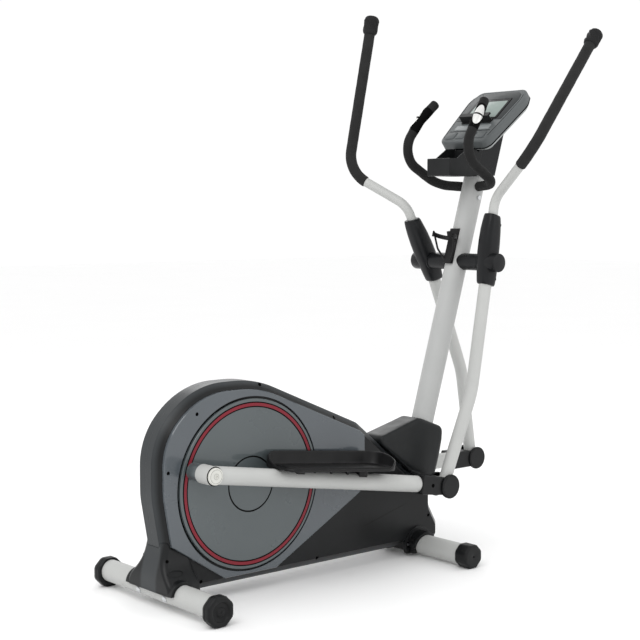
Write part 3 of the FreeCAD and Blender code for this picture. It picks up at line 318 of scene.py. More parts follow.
line_black = moulded("line_black", (5, 5, 5), 0.75, lift=4, specular=0.06)
grip_foam = foam("grip_foam", (40, 40, 40))
handle_foam = foam("handle_foam", (34, 34, 34))
steel = metal("zinc_steel", (206, 208, 210), 0.28)
bearing = metal("bearing_steel", (150, 152, 156), 0.2)
cast = metal("cast_iron", (92, 92, 94), 0.42)
sensor_metal = metal("sensor_plate", (236, 236, 234), 0.35, (8.0, 8.0, 1.0))
pin_light = powder_coat("pin_cap", (206, 206, 200))
console_silver = powder_coat("console_silver", (92, 96, 97))
console_edge = powder_coat("console_edge", (150, 153, 153))
console_dark = gloss("console_dark", (50, 53, 54), (68, 71, 72), 0.5, 0.05)
key_grey = moulded("key_plastic", (84, 88, 89), 0.5)
key_patch = powder_coat("key_patch", (136, 140, 141))
ledge_black = moulded("ledge_plastic", (18, 18, 19), 0.45)
screen = lcd()
belt = belt_rubber()

FINISH = {
    "main_frame": black_paint, "rear_stabilizer": silver, "front_stabilizer": silver,
    "frame_bolts": steel, "mast": mast_silver, "mast_boot": boot,
    "housing_left": shell, "housing_right": shell, "side_panel_left": panel, "side_panel_right": panel,
    "housing_screws": recess_shade, "rear_foot_cover": shell, "crank_bearings": bearing, "drive_belt": belt,
    "flywheel_axle": steel, "pivot_shaft": steel, "pivot_spacers": cover, "handlebar": silver,
    "pulse_sensors": sensor_metal, "console_back": console_edge, "console_neck": cover, "cup_tray": tray,
    "bottle_cage": ledge_black, "tablet_ledge": ledge_black, "crank_axle": bearing, "crank_arms": black_paint,
    "crank_disc_right": disc, "crank_disc_left": disc, "disc_rings": ring, "drive_pulley": black_paint,
    "flywheel": cast, "brake_bracket": black_paint, "front_caps": cap_black,
    "leveller_left": cap_black, "leveller_right": cap_black,
    "handle_foams": handle_foam, "console_housing": console_silver, "console_screen": screen,
}
for k in range(1, 5):
    FINISH["console_key_%d" % k] = key_grey
for side in SIDES:
    FINISH.update({
        side + "_swing_leg": silver, side + "_swing_bar": silver, side + "_pivot_cover": cover,
        side + "_grip": grip_foam, side + "_knob": knob_rubber, side + "_pedal_arm": silver,
        side + "_arm_pins": pin_light, side + "_joint_cover": joint_black, side + "_foot_plate": plate_black})


def dress(obj, material):
    obj.data.materials.clear()
    obj.data.materials.append(material)
    return obj


for name, obj in nodes.items():
    dress(obj, FINISH[name])


# ---- mesh helpers ----

def smooth_step(value):
    value = min(1.0, max(0.0, value))
    return value * value * (3 - 2 * value)


def mesh_object(name, points, faces, material, sharp_deg=40.0):
    mesh = bpy.data.meshes.new(name)
    mesh.from_pydata([tuple(p) for p in points], [], faces)
    mesh.update()
    mesh.polygons.foreach_set("use_smooth", [True] * len(mesh.polygons))
    mesh.set_sharp_from_angle(angle=math.radians(sharp_deg))
    obj = bpy.data.objects.new(name, mesh)
    bpy.context.scene.collection.objects.link(obj)
    return dress(obj, material)


def loft(name, rings, material, close_start=True, sharp_deg=40.0):
    """Skins a list of rings that all have the same number of points, closed at the last one."""
    count = len(rings[0])
    points = [p for ring_points in rings for p in ring_points]
    faces = []
    for i in range(len(rings) - 1):
        for k in range(count):
            a, b = i * count + k, i * count + (k + 1) % count
            faces.append((a, b, b + count, a + count))
    if close_start:
        faces.append(tuple(reversed(range(count))))
    last = (len(rings) - 1) * count
    faces.append(tuple(range(last, last + count)))
    return mesh_object(name, points, faces, material, sharp_deg)


def bend_path(points, radii, step):
    """Points along straight runs joined by tangent arcs."""
    out = [points[0].copy()]

    def run_to(target):
        start = out[-1]
        count = max(1, round((target - start).length / step))
        for i in range(1, count + 1):
            out.append(start.lerp(target, i / count))

    for i in range(1, len(points) - 1):
        corner = points[i]
        back = (points[i - 1] - corner).normalized()
        ahead = (points[i + 1] - corner).normalized()
        half = back.angle(ahead) / 2
        reach = radii[i - 1] / math.tan(half)
        centre = corner + (back + ahead).normalized() * (radii[i - 1] / math.sin(half))
        enter, leave = corner + back * reach, corner + ahead * reach
        run_to(enter)
        turn = math.pi - 2 * half
        steps = max(3, round(turn * radii[i - 1] / step))
        axis = (enter - centre).cross(leave - centre).normalized()
        for k in range(1, steps + 1):
            out.append(centre + Matrix.Rotation(turn * k / steps, 3, axis) @ (enter - centre))
    run_to(points[-1])
    return out


def sweep_rings(path, radius_at, sides):
    """Rings round a path. radius_at(length along, angle) gives the radius."""
    along = (path[1] - path[0]).normalized()
    normal = along.orthogonal().normalized()
    rings, travelled = [], 0.0
    for i, point in enumerate(path):
        ahead = path[min(i + 1, len(path) - 1)] - path[max(i - 1, 0)]
        ahead.normalize()
        turn = along.rotation_difference(ahead)
        normal = (turn @ normal).normalized()
        along = ahead
        if i:
            travelled += (point - path[i - 1]).length
        second = along.cross(normal)
        ring_points = []
        for k in range(sides):
            angle = 2 * math.pi * k / sides
            r = radius_at(travelled, angle)
            ring_points.append(point + (normal * math.cos(angle) + second * math.sin(angle)) * r)
        rings.append(ring_points)
    return rings


def path_length(path):
    return sum((b - a).length for a, b in zip(path, path[1:]))


def rounded_ends(length, radius, start_round, end_round):
    """A radius that closes in over a quarter circle at each end."""
    def at(s, angle):
        r = radius
        if s < start_round:
            r = radius - start_round + math.sqrt(max(0.0, start_round ** 2 - (start_round - s) ** 2))
        if s > length - end_round:
            t = s - (length - end_round)
            r = radius - end_round + math.sqrt(max(0.0, end_round ** 2 - t ** 2))
        return max(r, 0.0002)
    return at


def end_steps(path, start_round, end_round):
    """Adds close points near both ends so that a rounded end is smooth."""
    shares = (0.05, 0.15, 0.3, 0.5, 0.75, 1.0)
    out = [path[0]]
    first, last = path[1] - path[0], path[-1] - path[-2]
    start_clear, end_clear = start_round * 1.2, end_round * 1.2
    for share in shares:
        out.append(path[0] + first.normalized() * start_round * share)
    out += [p for p in path if (p - path[0]).length > start_clear and (p - path[-1]).length > end_clear]
    for share in reversed(shares):
        out.append(path[-1] - last.normalized() * end_round * share)
    out.append(path[-1])
    return out


# ---- swing arms: grips and knobs ----

BAR_LOW = Vector((-0.030, -0.134, 0.188))
BAR_HIGH = Vector((-0.090, -0.300, 0.319))
BAR_TOP = Vector((0.111, -0.272, 0.729))
GRIP_R, GRIP_LAP, GRIP_BEND = 0.017, 0.068, 0.067
KNOB_R, KNOB_NECK, KNOB_LENGTH = 0.024, 0.024, 0.058


def tilted(point, degrees, origin, side):
    """A point drawn on the right side, tilted front end up by the angle and set at origin, on either side."""
    a = math.radians(degrees)
    x = point.x * math.cos(a) - point.z * math.sin(a)
    z = point.x * math.sin(a) + point.z * math.cos(a)
    return Vector((origin.x + x, -point.y * OUTWARD[side], origin.z + z))


def grip(side):
    up = (BAR_TOP - BAR_HIGH).normalized()
    start = BAR_HIGH + (BAR_LOW - BAR_HIGH).normalized() * GRIP_LAP
    half = (start - BAR_HIGH).angle(up) / 2
    corner = [start, BAR_HIGH, BAR_TOP - up * 0.020]
    local = bend_path(corner, [GRIP_BEND * math.tan(half)], 0.006)
    path = end_steps([tilted(p, ARM_DEG[side], PIVOT, side) for p in local], 0.003, 0.002)
    length = path_length(path)
    base = rounded_ends(length, GRIP_R, 0.003, 0.002)

    def radius(s, angle):
        ripple = 0.00012 * math.sin(s * 170 + 2 * angle) + 0.0001 * math.sin(s * 61 + angle)
        return base(s, angle) - 0.0002 + ripple

    obj = loft(side + "_grip_foam", sweep_rings(path, radius, 40), grip_foam)
    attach(obj, side + "_arm_body")
    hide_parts(side + "_grip")


def knob(side):
    """A rubber end knob with a rounded crown and ribs that wind round it."""
    up = (BAR_TOP - BAR_HIGH).normalized()
    base = BAR_TOP - up * KNOB_NECK
    steps = 46
    local = [base + up * (KNOB_LENGTH * i / steps) for i in range(steps + 1)]
    path = [tilted(p, ARM_DEG[side], PIVOT, side) for p in local]

    def radius(s, angle):
        t = s / KNOB_LENGTH
        r = KNOB_R - 0.0008
        if t < 0.16:
            r = GRIP_R + 0.002 + (KNOB_R - 0.0008 - GRIP_R - 0.002) * math.sin(t / 0.16 * math.pi / 2)
        if t > 0.66:
            k = (t - 0.66) / 0.34
            r = KNOB_R * (0.22 + 0.78 * math.sqrt(max(0.0, 1 - k ** 2.4)))
        rib = max(0.0, math.sin(10 * angle + 16 * t)) ** 0.6
        depth = 0.0024 * math.sin(min(1.0, max(0.0, (t - 0.08) / 0.84)) * math.pi) ** 0.5
        return r - depth * (1 - rib)

    obj = loft(side + "_end_knob", sweep_rings(path, radius, 120), knob_rubber, sharp_deg=70.0)
    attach(obj, side + "_arm_body")
    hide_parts(side + "_knob")


# ---- fixed handlebar: foams and sensor pods ----

HANDLE_START = Vector((0.47215, 0.0, 1.098))
HANDLE = [Vector((0.439, 0.122, 1.107)), Vector((0.285, 0.131, 1.196)),
          Vector((0.362, 0.122, 1.305)), Vector((0.407, 0.104, 1.353))]
HANDLE_RADII = [0.060, 0.068, 0.080]
HANDLE_FOAM_R = 0.015


def handle_points(sign):
    return [HANDLE_START] + [Vector((p.x, p.y * sign, p.z)) for p in HANDLE]


def handle_foams():
    for side in SIDES:
        points = handle_points(OUTWARD[side])
        first = (points[1] - points[0]).normalized()
        last = (points[-1] - points[-2]).normalized()
        points[0] = points[0] + first * 0.0330
        points[-1] = points[-1] + last * 0.009
        path = end_steps(bend_path(points, HANDLE_RADII, 0.005), 0.002, 0.008)
        base = rounded_ends(path_length(path), HANDLE_FOAM_R, 0.002, 0.008)

        def radius(s, angle):
            return base(s, angle) - 0.0002 + 0.00015 * math.sin(s * 150 + 2 * angle)

        obj = loft(side + "_handle_foam", sweep_rings(path, radius, 40), handle_foam)
        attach(obj, "frame")
        sensor_pod(side, points)
    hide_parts("handle_foams")


def sensor_pod(side, points):
    """A black sleeve round the grip under the two contact plates, tapered at both ends."""
    half = 0.047
    corner = bend_path(points, HANDLE_RADII, 0.003)
    centre = min(corner, key=lambda p: (p - points[3]).length)
    near = [p for p in corner if (p - centre).length < half]
    length = path_length(near)

    def radius(s, angle):
        t = abs(2 * s / length - 1)
        return HANDLE_FOAM_R + 0.0009 * math.sqrt(max(0.0, 1 - t ** 4)) - 0.0001

    pod = loft(side + "_sensor_pod", sweep_rings(near, radius, 40), line_black)
    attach(pod, "frame")


# ---- mast boot ----

# corners of the boot from the crank's axle: X, height above the floor and the round's radius
BOOT = [(0.478, 0.363, 0.016), (0.656, 0.409, 0.044), (0.754, 0.372, 0.020), (0.748, 0.336, 0.030),
        (0.707, 0.213, 0.016), (0.612, 0.252, 0.060)]
# share of the half width, and how far the outline is pulled in there
BOOT_PROFILE = [(1.0, 0.016), (0.985, 0.010), (0.95, 0.005), (0.89, 0.0015), (0.80, 0.0), (0.40, 0.0)]


def mast_boot():
    """The moulded boot at the foot of the mast, narrower at its top and well rounded."""
    corners = [Vector((CRANK.x + x, 0, z)) for x, z, radius in BOOT]
    start = (corners[0] + corners[-1]) / 2
    outline = bend_path([start] + corners + [start], [radius for x, z, radius in BOOT], 0.006)[:-1]
    middle = sum(outline, Vector()) / len(outline)
    rings = []
    for t, inset in BOOT_PROFILE + [(-t, inset) for t, inset in reversed(BOOT_PROFILE)]:
        ring_points = []
        for p in outline:
            half = 0.0503 - 0.010 * smooth_step((p.z - 0.27) / 0.13)
            q = p + (middle - p).normalized() * inset
            ring_points.append(Vector((q.x, t * half, q.z)))
        rings.append(ring_points)
    obj = loft("boot_moulding", rings, boot, sharp_deg=60.0)
    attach(obj, "frame")
    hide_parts("mast_boot")


# ---- end caps ----

# how deep the cap's face lies below its rim, and how far out, as a share of the half width
DISHED = [(0.0008, 0.66), (0.0040, 0.63), (0.0048, 0.59), (0.0048, 0.34), (0.0040, 0.31), (0.0012, 0.27),
          (0.0006, 0.24), (0.0006, 0.10), (0.0022, 0.07)]
PLAIN = [(0.0001, 0.60), (0.0001, 0.12), (0.0004, 0.09), (0.0040, 0.08), (0.0042, 0.03)]
# along from the cap's inner end, depth below the flats, and how eight-sided the ring is
CAP_BACK = [(0.0, 0.0035, 0.6), (0.0015, 0.0012, 1.0), (0.0035, 0.0002, 1.0)]
# back from the cap's outer end, depth below the flats, and how eight-sided the ring is
CAP_EDGE = [(0.0048, 0.0002, 1.0), (0.0022, 0.0012, 1.0), (0.0006, 0.0032, 0.9), (0.0, 0.0062, 0.7)]
# along from a groove's middle, and depth below the flats
CAP_GROOVE = [(-0.0013, 0.0002), (-0.0007, 0.0016), (0.0007, 0.0016), (0.0013, 0.0002)]
CAP_BORE = 0.0306
LEVELLER = {"apothem": 0.0395, "width": 0.028, "groove_at": [0.42], "face": DISHED, "tube_z": 0.044}
FRONT_CAP = {"apothem": 0.034, "width": 0.045, "groove_at": [0.25], "face": PLAIN, "tube_z": 0.034}


def octagon_ring(centre, apothem, y, flat=1.0):
    """A rounded eight-sided ring, or a circle as flat goes to 0."""
    out = []
    for k in range(96):
        angle = 2 * math.pi * k / 96 + math.pi / 8
        within = (angle + math.pi / 8) % (math.pi / 4) - math.pi / 8
        r = apothem / math.cos(within)
        r = min(r, apothem * 1.045)
        r = apothem + (r - apothem) * flat
        out.append(Vector((centre.x + r * math.cos(angle), y, centre.z + r * math.sin(angle))))
    return out


def end_cap(side, name, node, body, cap):
    """A moulded end cap: softened eight-sided rim, grooves, a round face and a hole in its middle."""
    low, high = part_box(node)
    out = OUTWARD[side]
    apothem, width = cap["apothem"], cap["width"]
    outer = max(abs(low.y), abs(high.y)) * out
    inner = outer - out * width
    centre = Vector(((low.x + high.x) / 2, 0, low.z + apothem))
    profile = [(inner, CAP_BORE, 0.0)]
    profile += [(inner + out * along, apothem - deep, flat) for along, deep, flat in CAP_BACK]
    for share in cap["groove_at"]:
        middle = inner + out * width * share
        profile += [(middle + out * along, apothem - deep, 1.0) for along, deep in CAP_GROOVE]
    profile += [(outer - out * back, apothem - deep, flat) for back, deep, flat in CAP_EDGE]
    profile.append((outer, apothem * 0.68, 0.0))
    profile += [(outer - out * deep, apothem * share, 0.0) for deep, share in cap["face"]]
    rings = [octagon_ring(centre, r, y, flat) for y, r, flat in profile]
    rings[0] = [Vector((p.x, p.y, p.z + (cap["tube_z"] - centre.z))) for p in rings[0]]
    obj = loft(name + "_" + side, rings, cap_black, close_start=False, sharp_deg=50.0)
    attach(obj, body)
    return obj


# ---- console ----

TILT = math.radians(40.8)
CONSOLE = Vector((0.417, 0.0, 1.237))
U_AXIS = Vector((math.cos(TILT), 0, math.sin(TILT)))
W_AXIS = Vector((-math.sin(TILT), 0, math.cos(TILT)))
# out of the face, and how far the outline is pulled in there
HOUSING_PROFILE = [(-30.0, 1.0), (-29.2, 0.2), (-25.0, 0.0), (-9.0, 0.0), (-5.5, 0.5), (-3.0, 1.6),
                   (-1.2, 3.4), (-0.3, 5.6), (0.0, 8.0), (-0.9, 8.6), (-0.9, 9.4), (-0.2, 10.0)]
BACK_JOINT_PROFILE = [(-31.4, 3.0), (-31.2, -0.35), (-27.6, -0.45), (-27.2, 2.0)]
# up the face and across it
FASCIA = [(104, -91), (200, -100), (226, -92), (238, -76), (240, 0),
          (238, 76), (226, 92), (200, 100), (104, 91)]
SIDE_SEAM = [(26, 92.2), (120, 102.4), (196, 107.6), (222, 103.6),
             (222, 102.2), (196, 106.2), (120, 101.0), (26, 90.8)]
KEY_PITCH = 41.0


def on_console(u, y, w):
    """Millimetres up the face, across it and out of it, to metres in the row frame."""
    return CONSOLE + U_AXIS * (u / 1000) + Vector((0, y / 1000, 0)) + W_AXIS * (w / 1000)


def console_ring(inset, w, per_corner=10):
    corners = [(inset, 97 - inset, 26), (205, 117 - inset, 60), (254 - inset, 94 - inset, 24)]
    corners += [(u, -y, r) for u, y, r in reversed(corners)]
    out = []
    for i, (u, y, r) in enumerate(corners):
        r = max(2.0, r - inset * 0.5)
        here = Vector((u, y, 0))
        back = (Vector((*corners[i - 1][:2], 0)) - here).normalized()
        ahead = (Vector((*corners[(i + 1) % 6][:2], 0)) - here).normalized()
        half = back.angle(ahead) / 2
        centre = here + (back + ahead).normalized() * (r / math.sin(half))
        enter = here + back * (r / math.tan(half)) - centre
        turn = math.pi - 2 * half
        way = 1 if back.cross(ahead).z < 0 else -1
        for k in range(per_corner + 1):
            p = centre + Matrix.Rotation(way * turn * k / per_corner, 3, "Z") @ enter
            out.append((p.x, p.y))
    return [on_console(u, y, w) for u, y in out]


def rounded_rect(u0, u1, half, r, steps=8):
    out = []
    corners = [(u1 - r, half - r, 0), (u0 + r, half - r, 90),
               (u0 + r, -half + r, 180), (u1 - r, -half + r, 270)]
    for cu, cy, start in corners:
        for k in range(steps + 1):
            a = math.radians(start + 90 * k / steps)
            out.append((cu + r * math.cos(a), cy + r * math.sin(a)))
    return out


def plate(name, outline, low, high, material, body="frame", soft=0.6, offset=0.0):
    """A thin plate on the console's face with a softened upper edge."""
    cu = sum(u for u, y in outline) / len(outline)
    cy = sum(y for u, y in outline) / len(outline)

    def shrunk(amount):
        out = []
        for u, y in outline:
            d = Vector((u - cu, y - cy))
            out.append((u - d.normalized().x * amount, y - d.normalized().y * amount))
        return out

    rings = [[on_console(u, y + offset, low) for u, y in outline],
             [on_console(u, y + offset, high - soft) for u, y in outline],
             [on_console(u, y + offset, high - soft * 0.3) for u, y in shrunk(soft * 0.3)],
             [on_console(u, y + offset, high) for u, y in shrunk(soft)]]
    obj = loft(name, rings, material, sharp_deg=35.0)
    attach(obj, body)
    return obj


def console_shell():
    rings = [console_ring(inset, w) for w, inset in HOUSING_PROFILE]
    housing = loft("console_shell", rings, console_silver, sharp_deg=30.0)
    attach(housing, "frame")
    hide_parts("console_housing")


def console_face():
    """The dark fascia with the window in a black frame of painted shade, the pale patch and the line across
    the keys' upper side.
    """
    plate("console_fascia", FASCIA, -0.5, 0.9, console_dark)
    # the bezel and the inner frame are near black as painted shade: they stand in for the shadow in the
    # window's recess, broadest along its upper edge
    plate("console_bezel_shade", rounded_rect(107, 207, 72, 6), 0.2, 1.4, line_black)
    plate("console_inner_shade", rounded_rect(109.5, 204.5, 69.5, 4), 0.6, 2.0, ledge_black)
    outline = rounded_rect(114, 194, 61, 3)
    window = plate("console_window", outline, 1.2, 2.4, screen, soft=0.3)
    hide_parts("console_screen")
    plate("console_patch", rounded_rect(58, 80, 72, 5), -0.6, 0.7, key_patch)
    outline = rounded_rect(51, 52.4, 84, 0.6)
    plate("console_line", outline, -0.6, 0.5, line_black, soft=0.2)


def console_seams():
    """A thin dark line down each side of the face, and one round the back cover's joint."""
    for side in SIDES:
        out = OUTWARD[side]
        outline = [(u, out * y) for u, y in SIDE_SEAM][::out]
        plate("console_seam_" + side, outline, -1.2, 0.35, line_black, soft=0.1)
    rings = [console_ring(inset, w) for w, inset in BACK_JOINT_PROFILE]
    seam = loft("console_joint", rings, line_black, sharp_deg=30.0)
    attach(seam, "frame")


def console_keys():
    plate("console_lamp", rounded_rect(66, 71, 6, 2.3), -0.4, 1.2, ring, soft=0.4)
    for k in range(4):
        outline = rounded_rect(14.4, 45.6, 17.6, 4)
        key = plate("console_button_%d" % (k + 1), outline, -4.0, 1.8, key_grey,
                    "key_%d_body" % (k + 1), 0.8, (k - 1.5) * KEY_PITCH)
        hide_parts("console_key_%d" % (k + 1))


# ---- crank: thin lines on the discs, boss sleeves and pin caps ----

def pin_centre(side):
    a = math.radians(PIN_DEG[side])
    return Vector((CRANK.x + CRANK_RADIUS * math.cos(a), 0, CRANK.z + CRANK_RADIUS * math.sin(a)))


def turned_ring(name, centre, profile, material, body, sides=96):
    """A body of revolution about Y. The profile is a list of (y, radius), closed into a loop."""
    count = len(profile)
    points, faces = [], []
    for k in range(sides):
        a = 2 * math.pi * k / sides
        points += [(centre.x + r * math.cos(a), y, centre.z + r * math.sin(a)) for y, r in profile]
    for k in range(sides):
        here, there = k * count, (k + 1) % sides * count
        for i in range(count):
            j = (i + 1) % count
            faces.append((here + i, here + j, there + j, there + i))
    obj = mesh_object(name, points, faces, material)
    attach(obj, body)


def disc_line(name, side, radius, width, face):
    """A thin dark ring that stands just proud of a disc's face."""
    y = OUTWARD[side] * face
    up = OUTWARD[side] * 0.0003
    profile = [(y - 6 * up, radius - width), (y, radius - width), (y + up, radius - width * 0.6),
               (y + up, radius + width * 0.6), (y, radius + width), (y - 6 * up, radius + width)]
    turned_ring(name, CRANK, profile, line_black, "crank", 160)


def crank_details(side):
    out = OUTWARD[side]
    disc_line(side + "_hub_line", side, 0.074, 0.0021, 0.0601)
    disc_line(side + "_ring_inner_line", side, 0.2083, 0.0017, 0.0607)
    disc_line(side + "_ring_outer_line", side, 0.2197, 0.0017, 0.0607)
    sleeve = [(out * 0.0590, 0.0200), (out * 0.0590, 0.0250), (out * 0.0625, 0.0232), (out * 0.0650, 0.0227),
              (out * 0.0970, 0.0227), (out * 0.0979, 0.0220), (out * 0.0979, 0.0200)]
    turned_ring(side + "_boss_sleeve", pin_centre(side), sleeve, disc, "crank")
    body = side + "_pedal_body"
    # a thin near-black ring round the pin cap: painted shade in its groove
    groove = [(out * 0.1516, 0.0150), (out * 0.1516, 0.0252), (out * 0.1523, 0.0252), (out * 0.1526, 0.0242),
              (out * 0.1526, 0.0150)]
    turned_ring(side + "_pin_groove_shade", pin_centre(side), groove, line_black, body)
    face = out * 0.1590
    for tag, r in (("rim", 0.0178), ("eye", 0.0074)):
        line = [(face - out * 0.0004, r - 0.0004), (face + out * 0.0002, r - 0.0002),
                (face + out * 0.0002, r + 0.0002), (face - out * 0.0004, r + 0.0004)]
        turned_ring(side + "_pin_" + tag, pin_centre(side), line, cover, body)


def on_pedal(side, x, y, z):
    """A point of the pedal arm, drawn along +X from the crank pin, in millimetres."""
    return tilted(Vector((x, -y, z)) / 1000, PEDAL_DEG[side], pin_centre(side), side)


# ---- foot plates ----

# millimetres along the pedal arm from the crank pin, out from the machine's middle, and up
PLATE = {"x0": 212.0, "x1": 612.0, "y0": 72.0, "y1": 204.0, "z0": 33.0, "tilt": 2.6}
# the corners' radii, from the inner rear one by way of the inner front one
PLATE_RADII = (30.0, 42.0, 52.0, 34.0)
# inset, height, and share of the rim's height
TREAD_PROFILE = [(14.0, 0.0, 0.0), (4.0, 0.0, 0.0), (1.2, 0.9, 0.0), (0.2, 3.0, 0.0), (0.0, 6.0, 0.0),
                 (0.3, -4.0, 1.0), (0.8, -1.4, 1.0), (2.0, -0.2, 1.0), (3.2, -0.2, 1.0), (4.4, -1.4, 1.0),
                 (5.0, -4.0, 1.0), (5.4, 12.0, 0.0), (7.6, 7.8, 0.0), (12.0, 6.2, 0.0), (17.0, 6.0, 0.0)]
# name, place along the arm, half length and half width of what holds the plate up
SADDLES = [("rear", 290.0, 15.0, 19.0), ("front", 520.0, 15.0, 19.0), ("rib_a", 345.0, 3.0, 15.0),
           ("rib_b", 405.0, 3.0, 15.0), ("rib_c", 465.0, 3.0, 15.0)]


def plate_outline(inset):
    """Points round the foot plate, pulled in by inset: an arc at each corner and steps along each side."""
    x0, x1 = PLATE["x0"] + inset, PLATE["x1"] - inset
    y0, y1 = PLATE["y0"] + inset, PLATE["y1"] - inset
    radii = [max(3.0, r - inset) for r in PLATE_RADII]
    steps = 12
    arcs = []
    for x, y, r, start in zip((x0, x1, x1, x0), (y0, y0, y1, y1), radii, (180, 270, 0, 90)):
        cx = x + r if x == x0 else x - r
        cy = y + r if y == y0 else y - r
        angles = [math.radians(start + 90 * k / steps) for k in range(steps + 1)]
        arcs.append([(cx + r * math.cos(a), cy + r * math.sin(a)) for a in angles])
    out = []
    for arc, following in zip(arcs, arcs[1:] + arcs[:1]):
        out += arc
        here, there = arc[-1], following[0]
        for k in range(1, steps):
            out.append(tuple(h + (t - h) * k / steps for h, t in zip(here, there)))
    return out


def wall_height(x, y):
    """The rim is tall along the inner side and the front's inner half, and low outside."""
    inner = 1 - smooth_step((y - 78.0) / 60.0)
    front = smooth_step((x - 568.0) / 30.0) * (1 - 0.45 * smooth_step((y - 120.0) / 80.0))
    back = smooth_step((x - 205.0) / 44.0)
    return 8.5 + 34.0 * max(inner * (0.6 + 0.4 * back), front)


def foot_plate(side):
    tilt = math.tan(math.radians(PLATE["tilt"]))
    middle = (PLATE["x0"] + PLATE["x1"]) / 2
    rings = []
    for inset, lift, rim in TREAD_PROFILE:
        ring_points = []
        for (x, y), (ox, oy) in zip(plate_outline(inset), plate_outline(0.0)):
            z = PLATE["z0"] + lift + rim * wall_height(ox, oy) + (x - middle) * tilt
            ring_points.append(on_pedal(side, x, y, z))
        rings.append(ring_points)
    obj = loft(side + "_tread_plate", rings, tread, sharp_deg=50.0)
    body = side + "_pedal_body"
    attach(obj, body)
    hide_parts(side + "_foot_plate")
    for tag, x, half, wide in SADDLES:
        top = PLATE["z0"] + (x - middle) * tilt + 1.5
        saddle_rings = []
        for z, grow in ((8.0, 1.0), (14.0, 1.0), (top - 6, 1.0), (top - 2, 1.25), (top, 1.7)):
            h, w = half * (grow if half > 5 else 1.0), wide * grow
            saddle_rings.append([on_pedal(side, x + sx * h, ARM_Y * 1000 + sy * w, z)
                                 for sx, sy in ((-1, -1), (1, -1), (1, 1), (-1, 1))])
        saddle = loft("%s_saddle_%s" % (side, tag), saddle_rings, plate_black, sharp_deg=60.0)
        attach(saddle, body)


# ---- screws, joint caps and arm covers ----

def small_disc(name, centre, axis, radius, thick, material, body):
    """A short round plug with a softened rim, such as the painted shade in a screw's counterbore."""
    axis = axis.normalized()
    path = [centre - axis * thick, centre - axis * thick * 0.3, centre]
    radii = [radius, radius, radius * 0.86]
    rings = []
    side_axis = axis.orthogonal().normalized()
    second = axis.cross(side_axis)
    for point, r in zip(path, radii):
        rings.append([point + (side_axis * math.cos(a) + second * math.sin(a)) * r
                      for a in (2 * math.pi * k / 24 for k in range(24))])
    obj = loft(name, rings, material, sharp_deg=50.0)
    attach(obj, body)


def joint_details(side):
    out = Vector((0, OUTWARD[side], 0))
    body = side + "_pedal_body"
    for tag, x, z, y in (("a", 794.4, 0.0, 151.4), ("b", 846.0, -22.0, 148.4)):
        centre = on_pedal(side, x, y + 1.8, z)
        small_disc("%s_joint_screw_%s" % (side, tag), centre, out, 0.0062, 0.001, recess_shade, body)


def joint_caps(side):
    """Round caps over both faces of the fork, each with a fine line inside its rim."""
    body = side + "_pedal_body"
    centre = on_pedal(side, PEDAL_LENGTH * 1000, 0.0, 0.0)
    for tag, y0, y1 in (("outer", 0.1500, 0.1592), ("inner", 0.1020, 0.0945)):
        a, b = OUTWARD[side] * y0, OUTWARD[side] * y1
        step = (b - a) / abs(b - a)
        profile = [(a, 0.0280), (a, 0.0348), (a + step * 0.001, 0.0356), (b - step * 0.0018, 0.0356),
                   (b - step * 0.0005, 0.0350), (b, 0.0338), (b, 0.0324), (b - step * 0.0010, 0.0320),
                   (b - step * 0.0010, 0.0312), (b, 0.0308), (b + step * 0.0002, 0.0200),
                   (b + step * 0.0002, 0.0001), (a, 0.0001)]
        turned_ring("%s_joint_cap_%s" % (side, tag), centre, profile, joint_black, body)


# height from the pivot, middle, half length and half width of the arm cover's sections, in millimetres
COVER = [(-67, 12, 21, 19), (-66, 12, 24, 22), (-61, 11, 26.5, 24), (-40, 8, 29, 25.5), (-10, 3, 31.5, 26.5),
         (25, -4, 33, 27), (60, -10, 32.5, 27), (95, -16, 30, 26), (120, -20, 27, 24), (136, -22.5, 24.5, 22),
         (141, -23.4, 22.5, 20), (142, -23.6, 19, 17)]


def pivot_cover(side):
    """A smooth oval cover over the joint of leg and bar, with the round end of the hub."""
    rings = []
    for z, x, half_x, half_y in COVER:
        drift = -0.002 * smooth_step(z / 70) - 0.004 * smooth_step((z - 60) / 80)
        ring_points = []
        for k in range(56):
            a = 2 * math.pi * k / 56
            c, d = math.cos(a), math.sin(a)
            px = x + half_x * math.copysign(abs(c) ** 0.72, c)
            py = half_y * math.copysign(abs(d) ** 0.72, d)
            point = Vector((px / 1000, -ARM_Y + drift + py / 1000, z / 1000))
            ring_points.append(tilted(point, ARM_DEG[side], PIVOT, side))
        rings.append(ring_points)
    body = side + "_arm_body"
    obj = loft(side + "_arm_cover", rings, cover, sharp_deg=50.0)
    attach(obj, body)
    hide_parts(side + "_pivot_cover")
    out = OUTWARD[side]
    hub = [(out * 0.1300, 0.0001), (out * 0.1300, 0.0290), (out * 0.1480, 0.0285), (out * 0.1730, 0.0280),
           (out * 0.1744, 0.0274), (out * 0.1750, 0.0258), (out * 0.1751, 0.0001)]
    turned_ring(side + "_hub_cap", Vector((PIVOT.x, 0, PIVOT.z)), hub, cover, body, 64)
    root = [(out * 0.1085, 0.0001), (out * 0.1085, 0.0270), (out * 0.1060, 0.0276), (out * 0.1035, 0.0268),
            (out * 0.1035, 0.0001)]
    turned_ring(side + "_hub_root", Vector((PIVOT.x, 0, PIVOT.z)), root, cover, body, 64)
    for tag, z, x, y in (("low", -44, 28.3, -21.8), ("high", 116, 1.0, -25.5)):
        centre = tilted(Vector((x / 1000, -ARM_Y + y / 1000, z / 1000)), ARM_DEG[side], PIVOT, side)
        facing = Vector((0.55, out * 0.85, 0.0))
        small_disc("%s_cover_screw_%s" % (side, tag), centre + facing * 0.0004, facing, 0.0040, 0.006,
                   recess_shade, body)


def foot_details():
    for side in SIDES:
        out = OUTWARD[side]
        centre = Vector((-0.712, out * 0.0545, 0.128))
        small_disc(side + "_foot_screw", centre, Vector((0, out, 0.25)), 0.0042, 0.004, recess_shade, "frame")


# ---- assemble ----

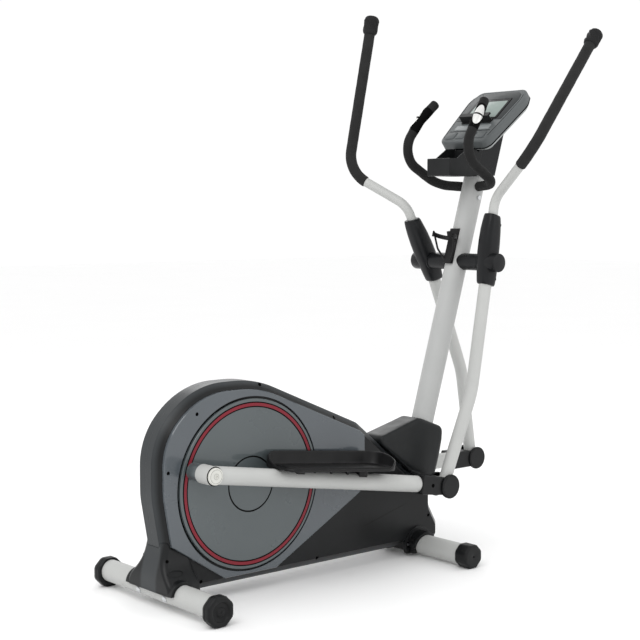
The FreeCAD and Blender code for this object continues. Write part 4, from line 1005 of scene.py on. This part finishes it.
for side in SIDES:
    grip(side)
    knob(side)
    crank_details(side)
    foot_plate(side)
    joint_details(side)
    joint_caps(side)
    pivot_cover(side)
handle_foams()
mast_boot()
foot_details()
for side in SIDES:
    cap = end_cap(side, "leveller_cap", "leveller_" + side, "leveller_%s_body" % side, LEVELLER)
    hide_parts("leveller_" + side)
front = [end_cap(side, "front_cap", "front_caps", "frame", FRONT_CAP) for side in SIDES]
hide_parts("front_caps")
console_shell()
console_face()
console_seams()
console_keys()


# ---- stage, light and camera ----

def stage():
    bpy.ops.mesh.primitive_plane_add(size=40, location=(0, 0, -0.0005))
    floor = bpy.context.object
    floor.name = "floor"
    p = Paint("floor_pale", (252, 252, 252), 0.9, specular=0.1)
    p.mottle(1.2, (249, 249, 249), 0.3)
    dress(floor, p.bump(p.noise(300.0), 0.02, 0.0003).done())


def area(name, place, target, size, power):
    data = bpy.data.lights.new(name, "AREA")
    data.shape = "RECTANGLE"
    data.size, data.size_y = size
    data.energy = power
    lamp = bpy.data.objects.new(name, data)
    bpy.context.scene.collection.objects.link(lamp)
    lamp.location = place
    lamp.rotation_euler = (Vector(target) - Vector(place)).to_track_quat("-Z", "Y").to_euler()


def studio():
    world = bpy.data.worlds.new("studio")
    bpy.context.scene.world = world
    world.use_nodes = True
    background = world.node_tree.nodes["Background"]
    background.inputs["Color"].default_value = (1.0, 1.0, 1.0, 1)
    background.inputs["Strength"].default_value = 1.02
    area("key", (-2.6, -1.2, 3.4), (0, 0, 0.6), (2.2, 2.2), 44)
    area("fill", (1.8, -3.6, 2.0), (0.1, 0, 0.7), (2.0, 2.6), 12)
    area("rim", (1.6, 3.0, 2.8), (0, 0, 0.8), (2.0, 2.0), 22)


def camera():
    data = bpy.data.cameras.new("camera")
    data.lens = 78.3
    data.sensor_width = 36
    eye = bpy.data.objects.new("camera", data)
    bpy.context.scene.collection.objects.link(eye)
    eye.location = (-2.699, -2.981, 1.030)
    eye.rotation_euler = (math.radians(85.46), 0, math.radians(-40.532))
    bpy.context.scene.camera = eye


stage()
studio()
camera()
bpy.context.scene.view_settings.view_transform = "Standard"
